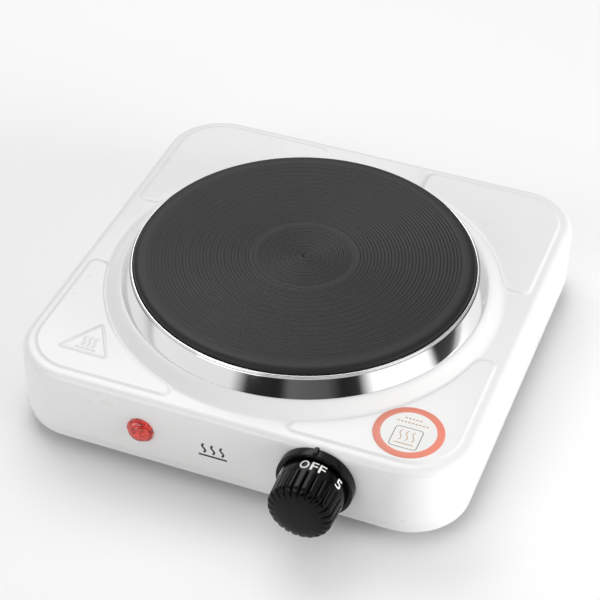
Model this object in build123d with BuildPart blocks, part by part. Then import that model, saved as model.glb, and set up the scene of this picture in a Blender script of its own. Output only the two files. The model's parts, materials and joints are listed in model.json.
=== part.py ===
"""Single electric hot plate: pressed-steel housing, cast-iron plate, rotary thermostat.

Millimetres, +Z up. The origin is on the table, under the middle of the cooking plate.
The front, with the knob and the pilot lamp, faces -Y.
"""

import os

from build123d import *

# ---- driving dimensions -------------------------------------------------------------
PLATE_R = 77.5  # cooking plate, 155 mm across
PLATE_TOP = 59.0  # cooking surface above the table
BODY = 208.0  # housing, square in plan
BODY_Y = 5.0  # middle of the housing behind the middle of the plate
CORNER_R = 28.0  # upright corners of the housing
SHEET = 0.8  # housing and base sheet
EDGE_R = 4.0  # rounding of the housing's top edge
BODY_LOW = 7.0  # lower edge of the housing above the table
RIM_Z = 42.4  # flat rim of the housing's top
FIELD_IN = 6.4  # corner fields: distance in from the housing's side
FIELD_H = 0.8  # corner fields: height above the rim
FIELD_CLEAR_R = 91.5  # corner fields: inner arc about the plate
GAP_FRONT = 54.0  # between the tips of two fields, at the front and the back
GAP_SIDE = 50.0  # the same at either side
SIGN_AT = (-72.6, -74.3)  # raised triangle on the front-left field
SIGN_R = 13.8  # its corners from its middle
LABEL_AT = (75.6, -75.8)  # round label on the front-right field
DOME_R = 92.0  # foot of the low dome under the plate
DOME_Z = 47.6  # top of the dome, where the trim ring stands
RING_R = 83.6  # trim ring at its foot
MOUTH_R = 80.0  # round opening in the top of the housing
HEM_H = 3.5  # folded lower edge
HEM_IN = 0.7  # how far the folded edge is set in
KNOB_X, KNOB_Z = 44.0, 26.2  # knob and thermostat axis
LAMP_X, LAMP_Z = -37.3, 25.2  # lamp axis
KNOB_R = 14.8
BEZEL_R = 17.2
BEZEL_DEPTH = 4.5
KNOB_REACH = 24.2  # knob's face in front of the housing
SPINDLE_R = 3.0  # D shaft, 6 mm
SPINDLE_FLAT = 1.4  # flat cut this deep into the shaft
SCREW_PITCH = 22.0  # thermostat screws, centre to centre
GLAND_X = -62.0
GLAND_Z = 24.0
GLAND_OUT = 13.0
FOOT_AT = 78.0  # feet: distance from the middle of the housing, both ways
BASE_Z = 7.6  # underside of the base plate
LUG_Z = 14.6  # underside of the housing's screw lugs
EARTH_AT = (-20.0, 90.0)  # earth screw in the base

HALF = BODY / 2
FRONT_Y = BODY_Y - HALF  # outside of the front wall
REAR_Y = BODY_Y + HALF
FRONT_IN = FRONT_Y + SHEET  # inside of the front wall
LUG_SPOTS = [(x, BODY_Y + y) for x in (-96.0, 96.0) for y in (-55.0, 55.0)]
FOOT_SPOTS = {
    "front_left": (-FOOT_AT, BODY_Y - FOOT_AT),
    "front_right": (FOOT_AT, BODY_Y - FOOT_AT),
    "rear_left": (-FOOT_AT, BODY_Y + FOOT_AT),
    "rear_right": (FOOT_AT, BODY_Y + FOOT_AT),
}


def toward_front(x, y, z):
    """Plane at a point whose normal faces the front (-Y), with local x along +X."""
    return Plane(origin=(x, y, z), x_dir=(1, 0, 0), z_dir=(0, -1, 0))


def save(piece, name):
    """Label a finished piece and write its STEP file."""
    piece.part.label = name
    export_step(piece.part, f"parts/{name}.step")


# ---- housing ------------------------------------------------------------------------
def housing_form(skin):
    """Closed form of the pressed housing, set in by skin on every side."""
    side = BODY - 2 * skin
    top = RIM_Z - skin
    with BuildPart() as form:
        with BuildSketch(Plane.XY.offset(BODY_LOW + HEM_H)):
            with Locations((0, BODY_Y)):
                RectangleRounded(side, side, CORNER_R - skin)
        extrude(amount=top - BODY_LOW - HEM_H)
        fillet(form.faces().sort_by(Axis.Z)[-1].edges(), EDGE_R - skin)
        with BuildSketch(Plane.XY.offset(BODY_LOW)):
            with Locations((0, BODY_Y)):
                RectangleRounded(side - 2 * HEM_IN, side - 2 * HEM_IN, CORNER_R - skin - HEM_IN)
        extrude(amount=HEM_H + 1)
        # corner fields, a rounded square less its middle cross and the ring round the plate
        inner = side - 2 * FIELD_IN
        with BuildSketch(Plane.XY.offset(top - 1)):
            with Locations((0, BODY_Y)):
                RectangleRounded(inner, inner, CORNER_R - FIELD_IN)
                Rectangle(side, GAP_SIDE + 2 * skin, mode=Mode.SUBTRACT)
                Rectangle(GAP_FRONT + 2 * skin, side, mode=Mode.SUBTRACT)
            Circle(FIELD_CLEAR_R + skin, mode=Mode.SUBTRACT)
        extrude(amount=1 + FIELD_H)
        with BuildSketch(Plane.XZ):
            with BuildLine():
                Polyline(
                    (0, top - 2),
                    (DOME_R + 2 - skin / 2, top - 2),
                    (DOME_R - skin / 2, top),
                    (RING_R + 1.2, DOME_Z - skin),
                    (0, DOME_Z - skin),
                    close=True,
                )
            make_face()
        revolve(axis=Axis.Z)
    return form.part


def make_housing():
    """Pressed shell with its mouth, wall holes, cooling slots and four screw lugs."""
    outer = housing_form(0)
    inner = housing_form(SHEET)
    with BuildPart() as housing:
        add(outer)
        add(inner, mode=Mode.SUBTRACT)
        with BuildSketch(Plane.XY.offset(DOME_Z - 3)):
            Circle(MOUTH_R)
        extrude(amount=6, mode=Mode.SUBTRACT)
        # raised triangular sign on the front-left field
        with BuildSketch(Plane.XY.offset(RIM_Z + FIELD_H - 0.2)):
            with Locations(SIGN_AT):
                RegularPolygon(SIGN_R, 3, rotation=90)
                RegularPolygon(SIGN_R - 3.6, 3, rotation=90, mode=Mode.SUBTRACT)
        extrude(amount=0.6)
        # open underside of the folded edge
        with BuildSketch(Plane.XY.offset(BODY_LOW - 0.5)):
            with Locations((0, BODY_Y)):
                hem = BODY - 2 * HEM_IN - 2 * SHEET
                RectangleRounded(hem, hem, CORNER_R - HEM_IN - SHEET)
        extrude(amount=HEM_H + SHEET + 0.5, mode=Mode.SUBTRACT)
        # spindle hole, two screw holes and lamp hole in the front wall
        with BuildSketch(toward_front(0, FRONT_Y - 1, 0)):
            with Locations((KNOB_X, KNOB_Z)):
                Circle(4.6)
            with Locations((KNOB_X - SCREW_PITCH / 2, KNOB_Z), (KNOB_X + SCREW_PITCH / 2, KNOB_Z)):
                Circle(1.6)
            with Locations((LAMP_X, LAMP_Z)):
                Circle(5.0)
        extrude(amount=-3, mode=Mode.SUBTRACT)
        # gland hole and cooling slots in the rear wall
        with BuildSketch(toward_front(0, REAR_Y + 1, 0)):
            with Locations((GLAND_X, GLAND_Z)):
                Circle(6.0)
            with Locations((30, 24)):
                with GridLocations(9, 1, 9, 1):
                    SlotOverall(14, 3.2, rotation=90)
        extrude(amount=3, mode=Mode.SUBTRACT)
        # screw lugs, bent in from the side walls
        with BuildSketch(Plane.XY.offset(LUG_Z)):
            for x, y in LUG_SPOTS:
                side = 1 if x > 0 else -1
                with Locations((x + side * 1.0, y)):
                    Rectangle(13.0, 14.0)
            with Locations(*LUG_SPOTS):
                Circle(1.8, mode=Mode.SUBTRACT)
        extrude(amount=1.2)
    save(housing, "housing")


def make_base_plate():
    """Tray that closes the housing: turned-up edge, cooling slots, screw and foot holes."""
    side = BODY - 2 * (HEM_IN + SHEET) - 0.8
    corner = CORNER_R - HEM_IN - SHEET - 0.4
    with BuildPart() as base:
        with BuildSketch(Plane.XY.offset(BASE_Z)):
            with Locations((0, BODY_Y)):
                RectangleRounded(side, side, corner)
        extrude(amount=5.6)
        fillet(base.faces().sort_by(Axis.Z)[0].edges(), 1.5)
        with BuildSketch(Plane.XY.offset(BASE_Z + SHEET)):
            with Locations((0, BODY_Y)):
                RectangleRounded(side - 2 * SHEET, side - 2 * SHEET, corner - SHEET)
        extrude(amount=10, mode=Mode.SUBTRACT)
        with BuildSketch(Plane.XY.offset(BASE_Z - 1)):
            with Locations((0, BODY_Y)):
                with PolarLocations(46, 16):
                    SlotOverall(30, 4)
            with Locations(*LUG_SPOTS):
                Circle(1.9)
            with Locations(*FOOT_SPOTS.values()):
                Circle(2.1)
            with Locations(EARTH_AT):
                Circle(2.1)
        extrude(amount=4, mode=Mode.SUBTRACT)
    save(base, "base_plate")


# ---- plate and its heater -----------------------------------------------------------
COVER_Z = 44.0  # underside of the cover below the plate
COIL_RINGS = {"outer": 62.0, "inner": 38.0}  # middle radius of each coil


def make_cooking_plate():
    """Cast-iron plate: turned grooves on top, two heater grooves and a boss below."""
    with BuildPart() as plate:
        with BuildSketch(Plane.XZ):
            with BuildLine():
                Polyline(
                    (0, COVER_Z + 0.8),
                    (14, COVER_Z + 0.8),
                    (14, 51.0),
                    (24, 51.0),
                    (24, 47.0),
                    (74.0, 47.0),
                    (74.0, 51.6),
                    (PLATE_R, 51.6),
                    (PLATE_R, PLATE_TOP),
                    (0, PLATE_TOP),
                    close=True,
                )
            make_face()
        revolve(axis=Axis.Z)
        rim = plate.edges().filter_by(GeomType.CIRCLE).group_by(Axis.Z)[-1]
        fillet(rim, 0.9)
        # turned grooves, each a shallow V
        with BuildSketch(Plane.XZ):
            for index in range(20):
                radius = 24.5 + 2.5 * index
                with Locations((radius, PLATE_TOP)):
                    RegularPolygon(0.35, 4)
        revolve(axis=Axis.Z, mode=Mode.SUBTRACT)
        with BuildSketch(Plane.XY.offset(PLATE_TOP - 0.6)):
            Circle(1.2)
        extrude(amount=1, mode=Mode.SUBTRACT)
        # annular grooves for the coils
        with BuildSketch(Plane.XZ):
            for radius in COIL_RINGS.values():
                with Locations((radius, 49.5)):
                    Rectangle(14.0, 5.0)
        revolve(axis=Axis.Z, mode=Mode.SUBTRACT)
        with BuildSketch(Plane.XY.offset(COVER_Z)):
            Circle(3.05)
        extrude(amount=9, mode=Mode.SUBTRACT)
    save(plate, "cooking_plate")


def make_heater():
    """Coils bedded in ceramic: each coil is an open ring with two legs that point down."""
    for name, radius in COIL_RINGS.items():
        with BuildPart() as coil:
            with BuildLine():
                ring = CenterArc((0, 0, 49.3), radius, 280, 340)
            with BuildSketch(Plane(origin=ring @ 0, z_dir=ring % 0)):
                Circle(1.6)
            sweep(path=ring)
        save(coil, f"heating_coil_{name}")
    with BuildPart() as fill:
        with BuildSketch(Plane.XZ):
            for radius in COIL_RINGS.values():
                with Locations((radius, 49.5)):
                    Rectangle(14.0, 5.0)
        revolve(axis=Axis.Z)
        with BuildSketch(Plane.XZ):
            for radius in COIL_RINGS.values():
                with Locations((radius, 49.3)):
                    Circle(1.6)
        revolve(axis=Axis.Z, mode=Mode.SUBTRACT)
    save(fill, "ceramic_fill")


def make_plate_cover():
    """Shallow pan under the plate, with holes for the boss, the beads and the fuse."""
    with BuildPart() as cover:
        with BuildSketch(Plane.XY.offset(COVER_Z)):
            Circle(73.4)
            Circle(8.0, mode=Mode.SUBTRACT)
            with Locations((-10, -50), (10, -50)):
                Circle(4.2, mode=Mode.SUBTRACT)
        extrude(amount=0.8)
        with BuildSketch(Plane.XY.offset(COVER_Z)):
            Circle(73.4)
            Circle(72.6, mode=Mode.SUBTRACT)
        extrude(amount=3.0)
    save(cover, "plate_cover")


def make_terminals():
    """Two ceramic beads through the cover and the two pins in them."""
    spots = [(-10, -50), (10, -50)]
    with BuildPart() as beads:
        with BuildSketch(Plane.XY.offset(37)):
            with Locations(*spots):
                Circle(4.0)
        extrude(amount=9.5)
        with BuildSketch(Plane.XY.offset(37)):
            with Locations(*spots):
                Circle(1.5)
        extrude(amount=9.5, mode=Mode.SUBTRACT)
    save(beads, "terminal_beads")
    with BuildPart() as pins:
        with BuildSketch(Plane.XY.offset(31)):
            with Locations(*spots):
                Circle(1.4)
        extrude(amount=15.5)
    save(pins, "terminal_pins")


def make_trim_ring():
    """Spun ring: seat under the plate, upright, narrow lip and tall flared skirt, one profile."""
    skin = 0.5
    lip = 56.5
    with BuildPart() as ring:
        with BuildSketch(Plane.XZ):
            with BuildLine():
                Polyline(
                    (74.3, 51.1),
                    (78.3, 51.1),
                    (78.3, lip - skin),
                    (78.7, lip - skin),
                    (82.9, DOME_Z + skin),
                    (82.4, DOME_Z),
                    (RING_R, DOME_Z),
                    (79.4, lip),
                    (77.8, lip),
                    (77.8, 51.1 + skin),
                    (74.3, 51.1 + skin),
                    close=True,
                )
            make_face()
        revolve(axis=Axis.Z)
    save(ring, "trim_ring")


def make_clamp():
    """Stud in the plate's boss, spring bar across the mouth, washer and hexagon nut."""
    with BuildPart() as stud:
        with BuildSketch(Plane.XY.offset(30.5)):
            Circle(3.0)
        extrude(amount=52.0 - 30.5)
        chamfer(stud.edges().sort_by(Axis.Z)[0], 0.5)
    save(stud, "centre_stud")

    under_dome = RIM_Z - SHEET  # underside of the flat rim
    with BuildPart() as bar:
        with BuildSketch(Plane.XZ.offset(-12)):
            with BuildLine():
                Polyline(
                    (-98, under_dome),
                    (-94.5, under_dome),
                    (-90, 39.6),
                    (90, 39.6),
                    (94.5, under_dome),
                    (98, under_dome),
                    (98, under_dome - 1.8),
                    (95.3, under_dome - 1.8),
                    (90.8, 37.8),
                    (-90.8, 37.8),
                    (-95.3, under_dome - 1.8),
                    (-98, under_dome - 1.8),
                    close=True,
                )
            make_face()
        extrude(amount=24)
        with BuildSketch(Plane.XY.offset(30)):
            Circle(3.4)
        extrude(amount=15, mode=Mode.SUBTRACT)
    save(bar, "clamp_bar")

    with BuildPart() as washer:
        with BuildSketch(Plane.XY.offset(36.4)):
            Circle(9.0)
            Circle(3.3, mode=Mode.SUBTRACT)
        extrude(amount=1.4)
    save(washer, "clamp_washer")

    with BuildPart() as nut:
        with BuildSketch(Plane.XY.offset(31.9)):
            RegularPolygon(5.0, 6, major_radius=False)
            Circle(3.05, mode=Mode.SUBTRACT)
        extrude(amount=4.5)
    save(nut, "clamp_nut")


def make_cutout():
    """Over-temperature fuse on the cover and the spring clip that holds it there."""
    with BuildPart() as fuse:
        with BuildSketch(Plane.YZ.offset(20)):
            with Locations((30, COVER_Z - 2.9)):
                Circle(2.5)
        extrude(amount=16)
    save(fuse, "thermal_cutout")
    with BuildPart() as clip:
        with BuildSketch(Plane.YZ.offset(25)):
            with Locations((30, COVER_Z - 0.2)):
                Rectangle(16.0, 0.4)
            with Locations((30, COVER_Z - 2.9)):
                Circle(3.1)
                Circle(2.5, mode=Mode.SUBTRACT)
        extrude(amount=6)
        with BuildSketch(Plane.YZ.offset(24)):
            with Locations((30, COVER_Z + 2)):
                Rectangle(20, 4)
        extrude(amount=8, mode=Mode.SUBTRACT)
    save(clip, "cutout_clip")


# ---- thermostat ---------------------------------------------------------------------
BLOCK_FRONT = -91.0  # front of the ceramic block
BLOCK_BACK = -80.0


def make_thermostat():
    """Bracket behind the front wall, ceramic block, leaves, spindle and two screws."""
    with BuildPart() as bracket:
        with BuildSketch(toward_front(KNOB_X, FRONT_IN + 1.0, KNOB_Z)):
            RectangleRounded(30, 18, 2)
            Circle(3.06, mode=Mode.SUBTRACT)
            with GridLocations(SCREW_PITCH, 1, 2, 1):
                Circle(1.55, mode=Mode.SUBTRACT)
        extrude(amount=1.0)
        for side in (-1, 1):
            with BuildSketch(Plane.YZ.offset(KNOB_X + side * 14.5 - 0.5)):
                with Locations(((FRONT_IN + BLOCK_BACK) / 2, KNOB_Z)):
                    Rectangle(BLOCK_BACK - FRONT_IN, 12)
            extrude(amount=1.0)
    save(bracket, "thermostat_bracket")

    with BuildPart() as block:
        with BuildSketch(toward_front(KNOB_X, BLOCK_BACK, KNOB_Z)):
            Rectangle(28, 12)
            with Locations((8.5, 0)):
                Circle(1.6, mode=Mode.SUBTRACT)
        extrude(amount=BLOCK_BACK - BLOCK_FRONT)
        # hollow for the two leaves, open to the front
        with BuildSketch(toward_front(KNOB_X, BLOCK_FRONT - 0.5, KNOB_Z)):
            with Locations((-1.5, 0)):
                Rectangle(19, 8)
        extrude(amount=-9, mode=Mode.SUBTRACT)
        # two lips that hold the root of the moving leaf
        with BuildSketch(Plane.XY.offset(KNOB_Z - 4)):
            with Locations((KNOB_X - 10.4, BLOCK_FRONT + 1.95), (KNOB_X - 10.4, BLOCK_FRONT + 3.55)):
                Rectangle(1.2, 0.8)
        extrude(amount=8)
    save(block, "thermostat_body")

    with BuildPart() as bimetal:
        with BuildSketch(Plane.XY.offset(KNOB_Z - 3)):
            with Locations((KNOB_X - 2.0, BLOCK_FRONT + 7.2)):
                Rectangle(17.0, 0.6)
            with Locations((KNOB_X + 4.5, BLOCK_FRONT + 6.4)):
                Rectangle(2.4, 1.0)
            with Locations((KNOB_X - 9.9, BLOCK_FRONT + 7.85)):
                Rectangle(1.2, 1.3)
        extrude(amount=6)
    save(bimetal, "bimetal_blade")

    with BuildPart() as blade:
        with BuildSketch(Plane.XY.offset(KNOB_Z - 2.5)):
            with Locations((KNOB_X - 2.2, BLOCK_FRONT + 2.75)):
                Rectangle(17.4, 0.5)
            with Locations((KNOB_X + 4.5, BLOCK_FRONT + 3.4)):
                Rectangle(2.4, 0.8)
        extrude(amount=5)
    save(blade, "contact_blade")

    with BuildPart() as spindle:
        with BuildSketch(toward_front(KNOB_X, BLOCK_FRONT + 1.6, KNOB_Z)):
            Circle(SPINDLE_R)
        extrude(amount=BLOCK_FRONT + 1.6 - (FRONT_Y - 15.0))
        with BuildSketch(toward_front(KNOB_X, FRONT_Y - 3.5, KNOB_Z)):
            with Locations((0, SPINDLE_R)):
                Rectangle(8, 2 * SPINDLE_FLAT)
        extrude(amount=14, mode=Mode.SUBTRACT)
    save(spindle, "thermostat_spindle")

    with BuildPart() as screws:
        with BuildSketch(toward_front(KNOB_X, FRONT_IN + 4.0, KNOB_Z)):
            with GridLocations(SCREW_PITCH, 1, 2, 1):
                Circle(1.5)
        extrude(amount=4.0 + SHEET + 1.2)
        with BuildSketch(toward_front(KNOB_X, FRONT_Y - 1.2, KNOB_Z)):
            with GridLocations(SCREW_PITCH, 1, 2, 1):
                Circle(2.6)
        extrude(amount=1.6)
        fillet(screws.edges().group_by(Axis.Y)[0], 0.6)
    save(screws, "thermostat_screws")


# ---- knob ---------------------------------------------------------------------------
FLUTES = 24


def make_knob():
    """Hollow knob with a smooth band for the marks, a fluted grip and a hub with a D bore."""
    back = FRONT_Y - BEZEL_DEPTH - 0.4
    face = FRONT_Y - KNOB_REACH
    with BuildPart() as knob:
        with BuildSketch(Plane.YZ.offset(KNOB_X)):
            with BuildLine():
                Polyline(
                    (back, KNOB_Z),
                    (back, KNOB_Z + KNOB_R),
                    (FRONT_Y - 10.5, KNOB_Z + KNOB_R - 0.2),
                    (face + 1.6, KNOB_Z + KNOB_R - 0.4),
                    (face + 0.3, KNOB_Z + KNOB_R - 2.0),
                    (face, KNOB_Z),
                    close=True,
                )
            make_face()
        revolve(axis=Axis(origin=(KNOB_X, 0, KNOB_Z), direction=(0, 1, 0)))
        # flutes that deepen toward the face
        with BuildSketch(toward_front(KNOB_X, face, KNOB_Z)):
            with PolarLocations(KNOB_R + 0.9, FLUTES):
                Circle(2.0)
        extrude(amount=-9.0, taper=8, mode=Mode.SUBTRACT)
        # hollow from the back, leaving the hub
        with BuildSketch(toward_front(KNOB_X, back, KNOB_Z)):
            Circle(KNOB_R - 2.6)
            Circle(5.6, mode=Mode.SUBTRACT)
        extrude(amount=KNOB_REACH - BEZEL_DEPTH - 0.4 - 2.2, mode=Mode.SUBTRACT)
        # D bore, with a slot beside the flat for the spring clip
        with BuildSketch(toward_front(KNOB_X, back, KNOB_Z)):
            Circle(SPINDLE_R + 0.03)
            with Locations((0, SPINDLE_R + 0.03)):
                Rectangle(8, 2 * (SPINDLE_FLAT - 0.5), mode=Mode.SUBTRACT)
        extrude(amount=15.0 - BEZEL_DEPTH - 0.4 + 0.5, mode=Mode.SUBTRACT)
    save(knob, "knob")

    with BuildPart() as clip:
        with BuildSketch(toward_front(KNOB_X, FRONT_Y - 7.0, KNOB_Z)):
            with Locations((0, SPINDLE_R - SPINDLE_FLAT + 0.27)):
                Rectangle(3.4, 0.4)
        extrude(amount=7.5)
    save(clip, "knob_spring_clip")

    with BuildPart() as bezel:
        with BuildSketch(toward_front(KNOB_X, FRONT_Y, KNOB_Z)):
            Circle(BEZEL_R)
        extrude(amount=BEZEL_DEPTH)
        fillet(bezel.edges().group_by(Axis.Y)[0], 0.6)
        with BuildSketch(toward_front(KNOB_X, FRONT_Y - 1.2, KNOB_Z)):
            Circle(BEZEL_R - 2.8)
        extrude(amount=BEZEL_DEPTH, mode=Mode.SUBTRACT)
        with BuildSketch(toward_front(KNOB_X, FRONT_Y, KNOB_Z)):
            with Locations((0, BEZEL_R + 0.1)):
                RectangleRounded(2.2, 2.6, 0.6)
        extrude(amount=BEZEL_DEPTH)
        with BuildSketch(toward_front(KNOB_X, FRONT_Y, KNOB_Z)):
            Circle(4.0)
            with GridLocations(SCREW_PITCH, 1, 2, 1):
                Circle(1.6)
        extrude(amount=1.2, mode=Mode.SUBTRACT)
    save(bezel, "knob_bezel")


# ---- pilot lamp ---------------------------------------------------------------------
def make_lamp():
    """Red dome with its sleeve, holder, neon bulb and the ring that grips the sleeve."""
    lamp_axis = Axis(origin=(LAMP_X, 0, LAMP_Z), direction=(0, 1, 0))
    with BuildPart() as lens:
        with BuildSketch(Plane.YZ.offset(LAMP_X)):
            with BuildLine():
                Polyline(
                    (FRONT_Y - 4.2, LAMP_Z),
                    (FRONT_Y - 2.0, LAMP_Z),
                    (FRONT_Y - 1.4, LAMP_Z + 3.9),
                    (FRONT_IN + 9, LAMP_Z + 3.9),
                    (FRONT_IN + 9, LAMP_Z + 4.9),
                    (FRONT_Y, LAMP_Z + 4.9),
                    (FRONT_Y, LAMP_Z + 6.2),
                    (FRONT_Y - 1.0, LAMP_Z + 6.2),
                    (FRONT_Y - 2.6, LAMP_Z + 4.9),
                    (FRONT_Y - 3.7, LAMP_Z + 3.0),
                    (FRONT_Y - 4.2, LAMP_Z + 1.2),
                    close=True,
                )
            make_face()
        revolve(axis=lamp_axis)
    save(lens, "lamp_lens")

    with BuildPart() as holder:
        with BuildSketch(toward_front(LAMP_X, FRONT_IN + 13, LAMP_Z)):
            Circle(3.85)
        extrude(amount=7)
        with BuildSketch(toward_front(LAMP_X, FRONT_IN + 13, LAMP_Z)):
            Circle(4.9)
        extrude(amount=4)
        with BuildSketch(toward_front(LAMP_X, FRONT_IN + 14, LAMP_Z)):
            with GridLocations(3.4, 1, 2, 1):
                Circle(0.75)
        extrude(amount=9, mode=Mode.SUBTRACT)
    save(holder, "lamp_holder")

    with BuildPart() as bulb:
        with BuildSketch(toward_front(LAMP_X, FRONT_IN + 6, LAMP_Z)):
            Circle(2.6)
        extrude(amount=7)
        fillet(bulb.edges().group_by(Axis.Y)[0], 2.4)
    save(bulb, "neon_bulb")

    with BuildPart() as clip:
        with BuildSketch(toward_front(LAMP_X, FRONT_IN + 0.5, LAMP_Z)):
            Circle(8.2)
            Circle(4.9, mode=Mode.SUBTRACT)
            with PolarLocations(5.4, 6):
                Rectangle(1.6, 1.0, mode=Mode.SUBTRACT)
        extrude(amount=0.5)
    save(clip, "lamp_clip")


# ---- mains terminals and gland ------------------------------------------------------
BLOCK_X, BLOCK_Y, BLOCK_Z = -54.0, 84.0, BASE_Z + SHEET


def make_terminal_block():
    """Three-way block on the base, its screws, and the earth screw with its tag."""
    ways = [BLOCK_X - 9, BLOCK_X, BLOCK_X + 9]
    with BuildPart() as block:
        with BuildSketch(Plane.XY.offset(BLOCK_Z)):
            with Locations((BLOCK_X, BLOCK_Y)):
                RectangleRounded(30, 18, 1.5)
        extrude(amount=13)
        with BuildSketch(Plane.XZ.offset(-BLOCK_Y - 10)):
            with Locations(*[(x, BLOCK_Z + 6) for x in ways]):
                Circle(2.0)
        extrude(amount=20, mode=Mode.SUBTRACT)
        with BuildSketch(Plane.XY.offset(BLOCK_Z + 6)):
            with Locations(*[(x, BLOCK_Y + y) for x in ways for y in (-5, 5)]):
                Circle(1.8)
        extrude(amount=10, mode=Mode.SUBTRACT)
    save(block, "terminal_block")

    with BuildPart() as screws:
        with BuildSketch(Plane.XY.offset(BLOCK_Z + 7.5)):
            with Locations(*[(x, BLOCK_Y + y) for x in ways for y in (-5, 5)]):
                Circle(1.75)
        extrude(amount=4.5)
        with BuildSketch(Plane.XY.offset(BLOCK_Z + 11)):
            with Locations(*[(x, BLOCK_Y + y) for x in ways for y in (-5, 5)]):
                Rectangle(3.6, 0.5)
        extrude(amount=2, mode=Mode.SUBTRACT)
    save(screws, "terminal_screws")

    with BuildPart() as earth:
        with BuildSketch(Plane.XY.offset(BASE_Z - 2.2)):
            with Locations(EARTH_AT):
                Circle(3.6)
        extrude(amount=2.2)
        with BuildSketch(Plane.XY.offset(BASE_Z)):
            with Locations(EARTH_AT):
                Circle(2.0)
        extrude(amount=8)
    save(earth, "earth_screw")

    x, y = EARTH_AT
    with BuildPart() as tag:
        with BuildSketch(Plane.XY.offset(BASE_Z + SHEET)):
            with Locations((x, y)):
                Circle(4.2)
            with Locations((x, y - 7)):
                Rectangle(4.5, 9)
            with Locations((x, y)):
                Circle(2.05, mode=Mode.SUBTRACT)
        extrude(amount=0.8)
    save(tag, "earth_tag")


def make_gland():
    """Bush in the rear wall: flange outside, groove for the wall, bore for the lead."""
    with BuildPart() as gland:
        with BuildSketch(Plane.YZ.offset(GLAND_X)):
            with BuildLine():
                Polyline(
                    (REAR_Y - SHEET - 5, GLAND_Z + 3.6),
                    (REAR_Y - SHEET - 5, GLAND_Z + 6.0),
                    (REAR_Y - SHEET - 0.3, GLAND_Z + 7.2),
                    (REAR_Y - SHEET, GLAND_Z + 7.2),
                    (REAR_Y - SHEET, GLAND_Z + 5.95),
                    (REAR_Y, GLAND_Z + 5.95),
                    (REAR_Y, GLAND_Z + 8.5),
                    (REAR_Y + 2.5, GLAND_Z + 8.5),
                    (REAR_Y + GLAND_OUT, GLAND_Z + 5.8),
                    (REAR_Y + GLAND_OUT, GLAND_Z + 3.6),
                    close=True,
                )
            make_face()
        revolve(axis=Axis(origin=(GLAND_X, 0, GLAND_Z), direction=(0, 1, 0)))
    save(gland, "cord_gland")


# ---- leads --------------------------------------------------------------------------
LEAD_R = 1.2


def make_lead(name, points, radii, radius=LEAD_R):
    """One insulated lead: straight runs joined by tangent arcs."""
    with BuildPart() as lead:
        with BuildLine():
            path = FilletPolyline(*points, radius=radii)
        with BuildSketch(Plane(origin=path @ 0, z_dir=path % 0)):
            Circle(radius)
        sweep(path=path)
    save(lead, name)


def make_leads():
    """Inner wiring, from the terminal block to the thermostat, the coils and the lamp."""
    way_z = BLOCK_Z + 6
    start = BLOCK_Y - 9.5
    make_lead(
        "lead_live",
        [(BLOCK_X, start, way_z), (BLOCK_X, 50, way_z), (-30, 10, 16), (30, -30, 18),
         (KNOB_X + 5, -58, KNOB_Z), (KNOB_X + 5, BLOCK_BACK + 0.4, KNOB_Z)],
        [10, 14, 12, 9],
    )
    make_lead(
        "lead_neutral",
        [(BLOCK_X - 9, start, way_z), (BLOCK_X - 9, 40, way_z), (-50, -20, 16), (-10, -50, 20),
         (-10, -50, 30.6)],
        [14, 14, 4],
    )
    make_lead(
        "lead_earth",
        [(BLOCK_X + 9, start, way_z), (BLOCK_X + 9, 60, way_z), (EARTH_AT[0], 60, 10.0),
         (EARTH_AT[0], EARTH_AT[1] - 12, 10.0)],
        [7, 7],
    )
    make_lead(
        "lead_switched",
        [(KNOB_X - 8, BLOCK_BACK + 0.4, KNOB_Z), (KNOB_X - 8, -66, KNOB_Z), (10, -50, 22),
         (10, -50, 30.6)],
        [6, 4],
    )
    lamp_back = FRONT_IN + 13.4
    routes = [
        [(LAMP_X + 1.7, lamp_back, LAMP_Z), (LAMP_X + 1.7, -73, LAMP_Z),
         (KNOB_X - 11.5, -73, KNOB_Z), (KNOB_X - 11.5, BLOCK_BACK + 0.4, KNOB_Z)],
        [(LAMP_X - 1.7, lamp_back, LAMP_Z), (LAMP_X - 1.7, -62, LAMP_Z), (-20, -50, 33),
         (-11.6, -50, 33)],
    ]
    with BuildPart() as pair:
        for route in routes:
            with BuildLine():
                path = FilletPolyline(*route, radius=3.5)
            with BuildSketch(Plane(origin=path @ 0, z_dir=path % 0)):
                Circle(0.7)
            sweep(path=path)
    save(pair, "lamp_leads")


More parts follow.
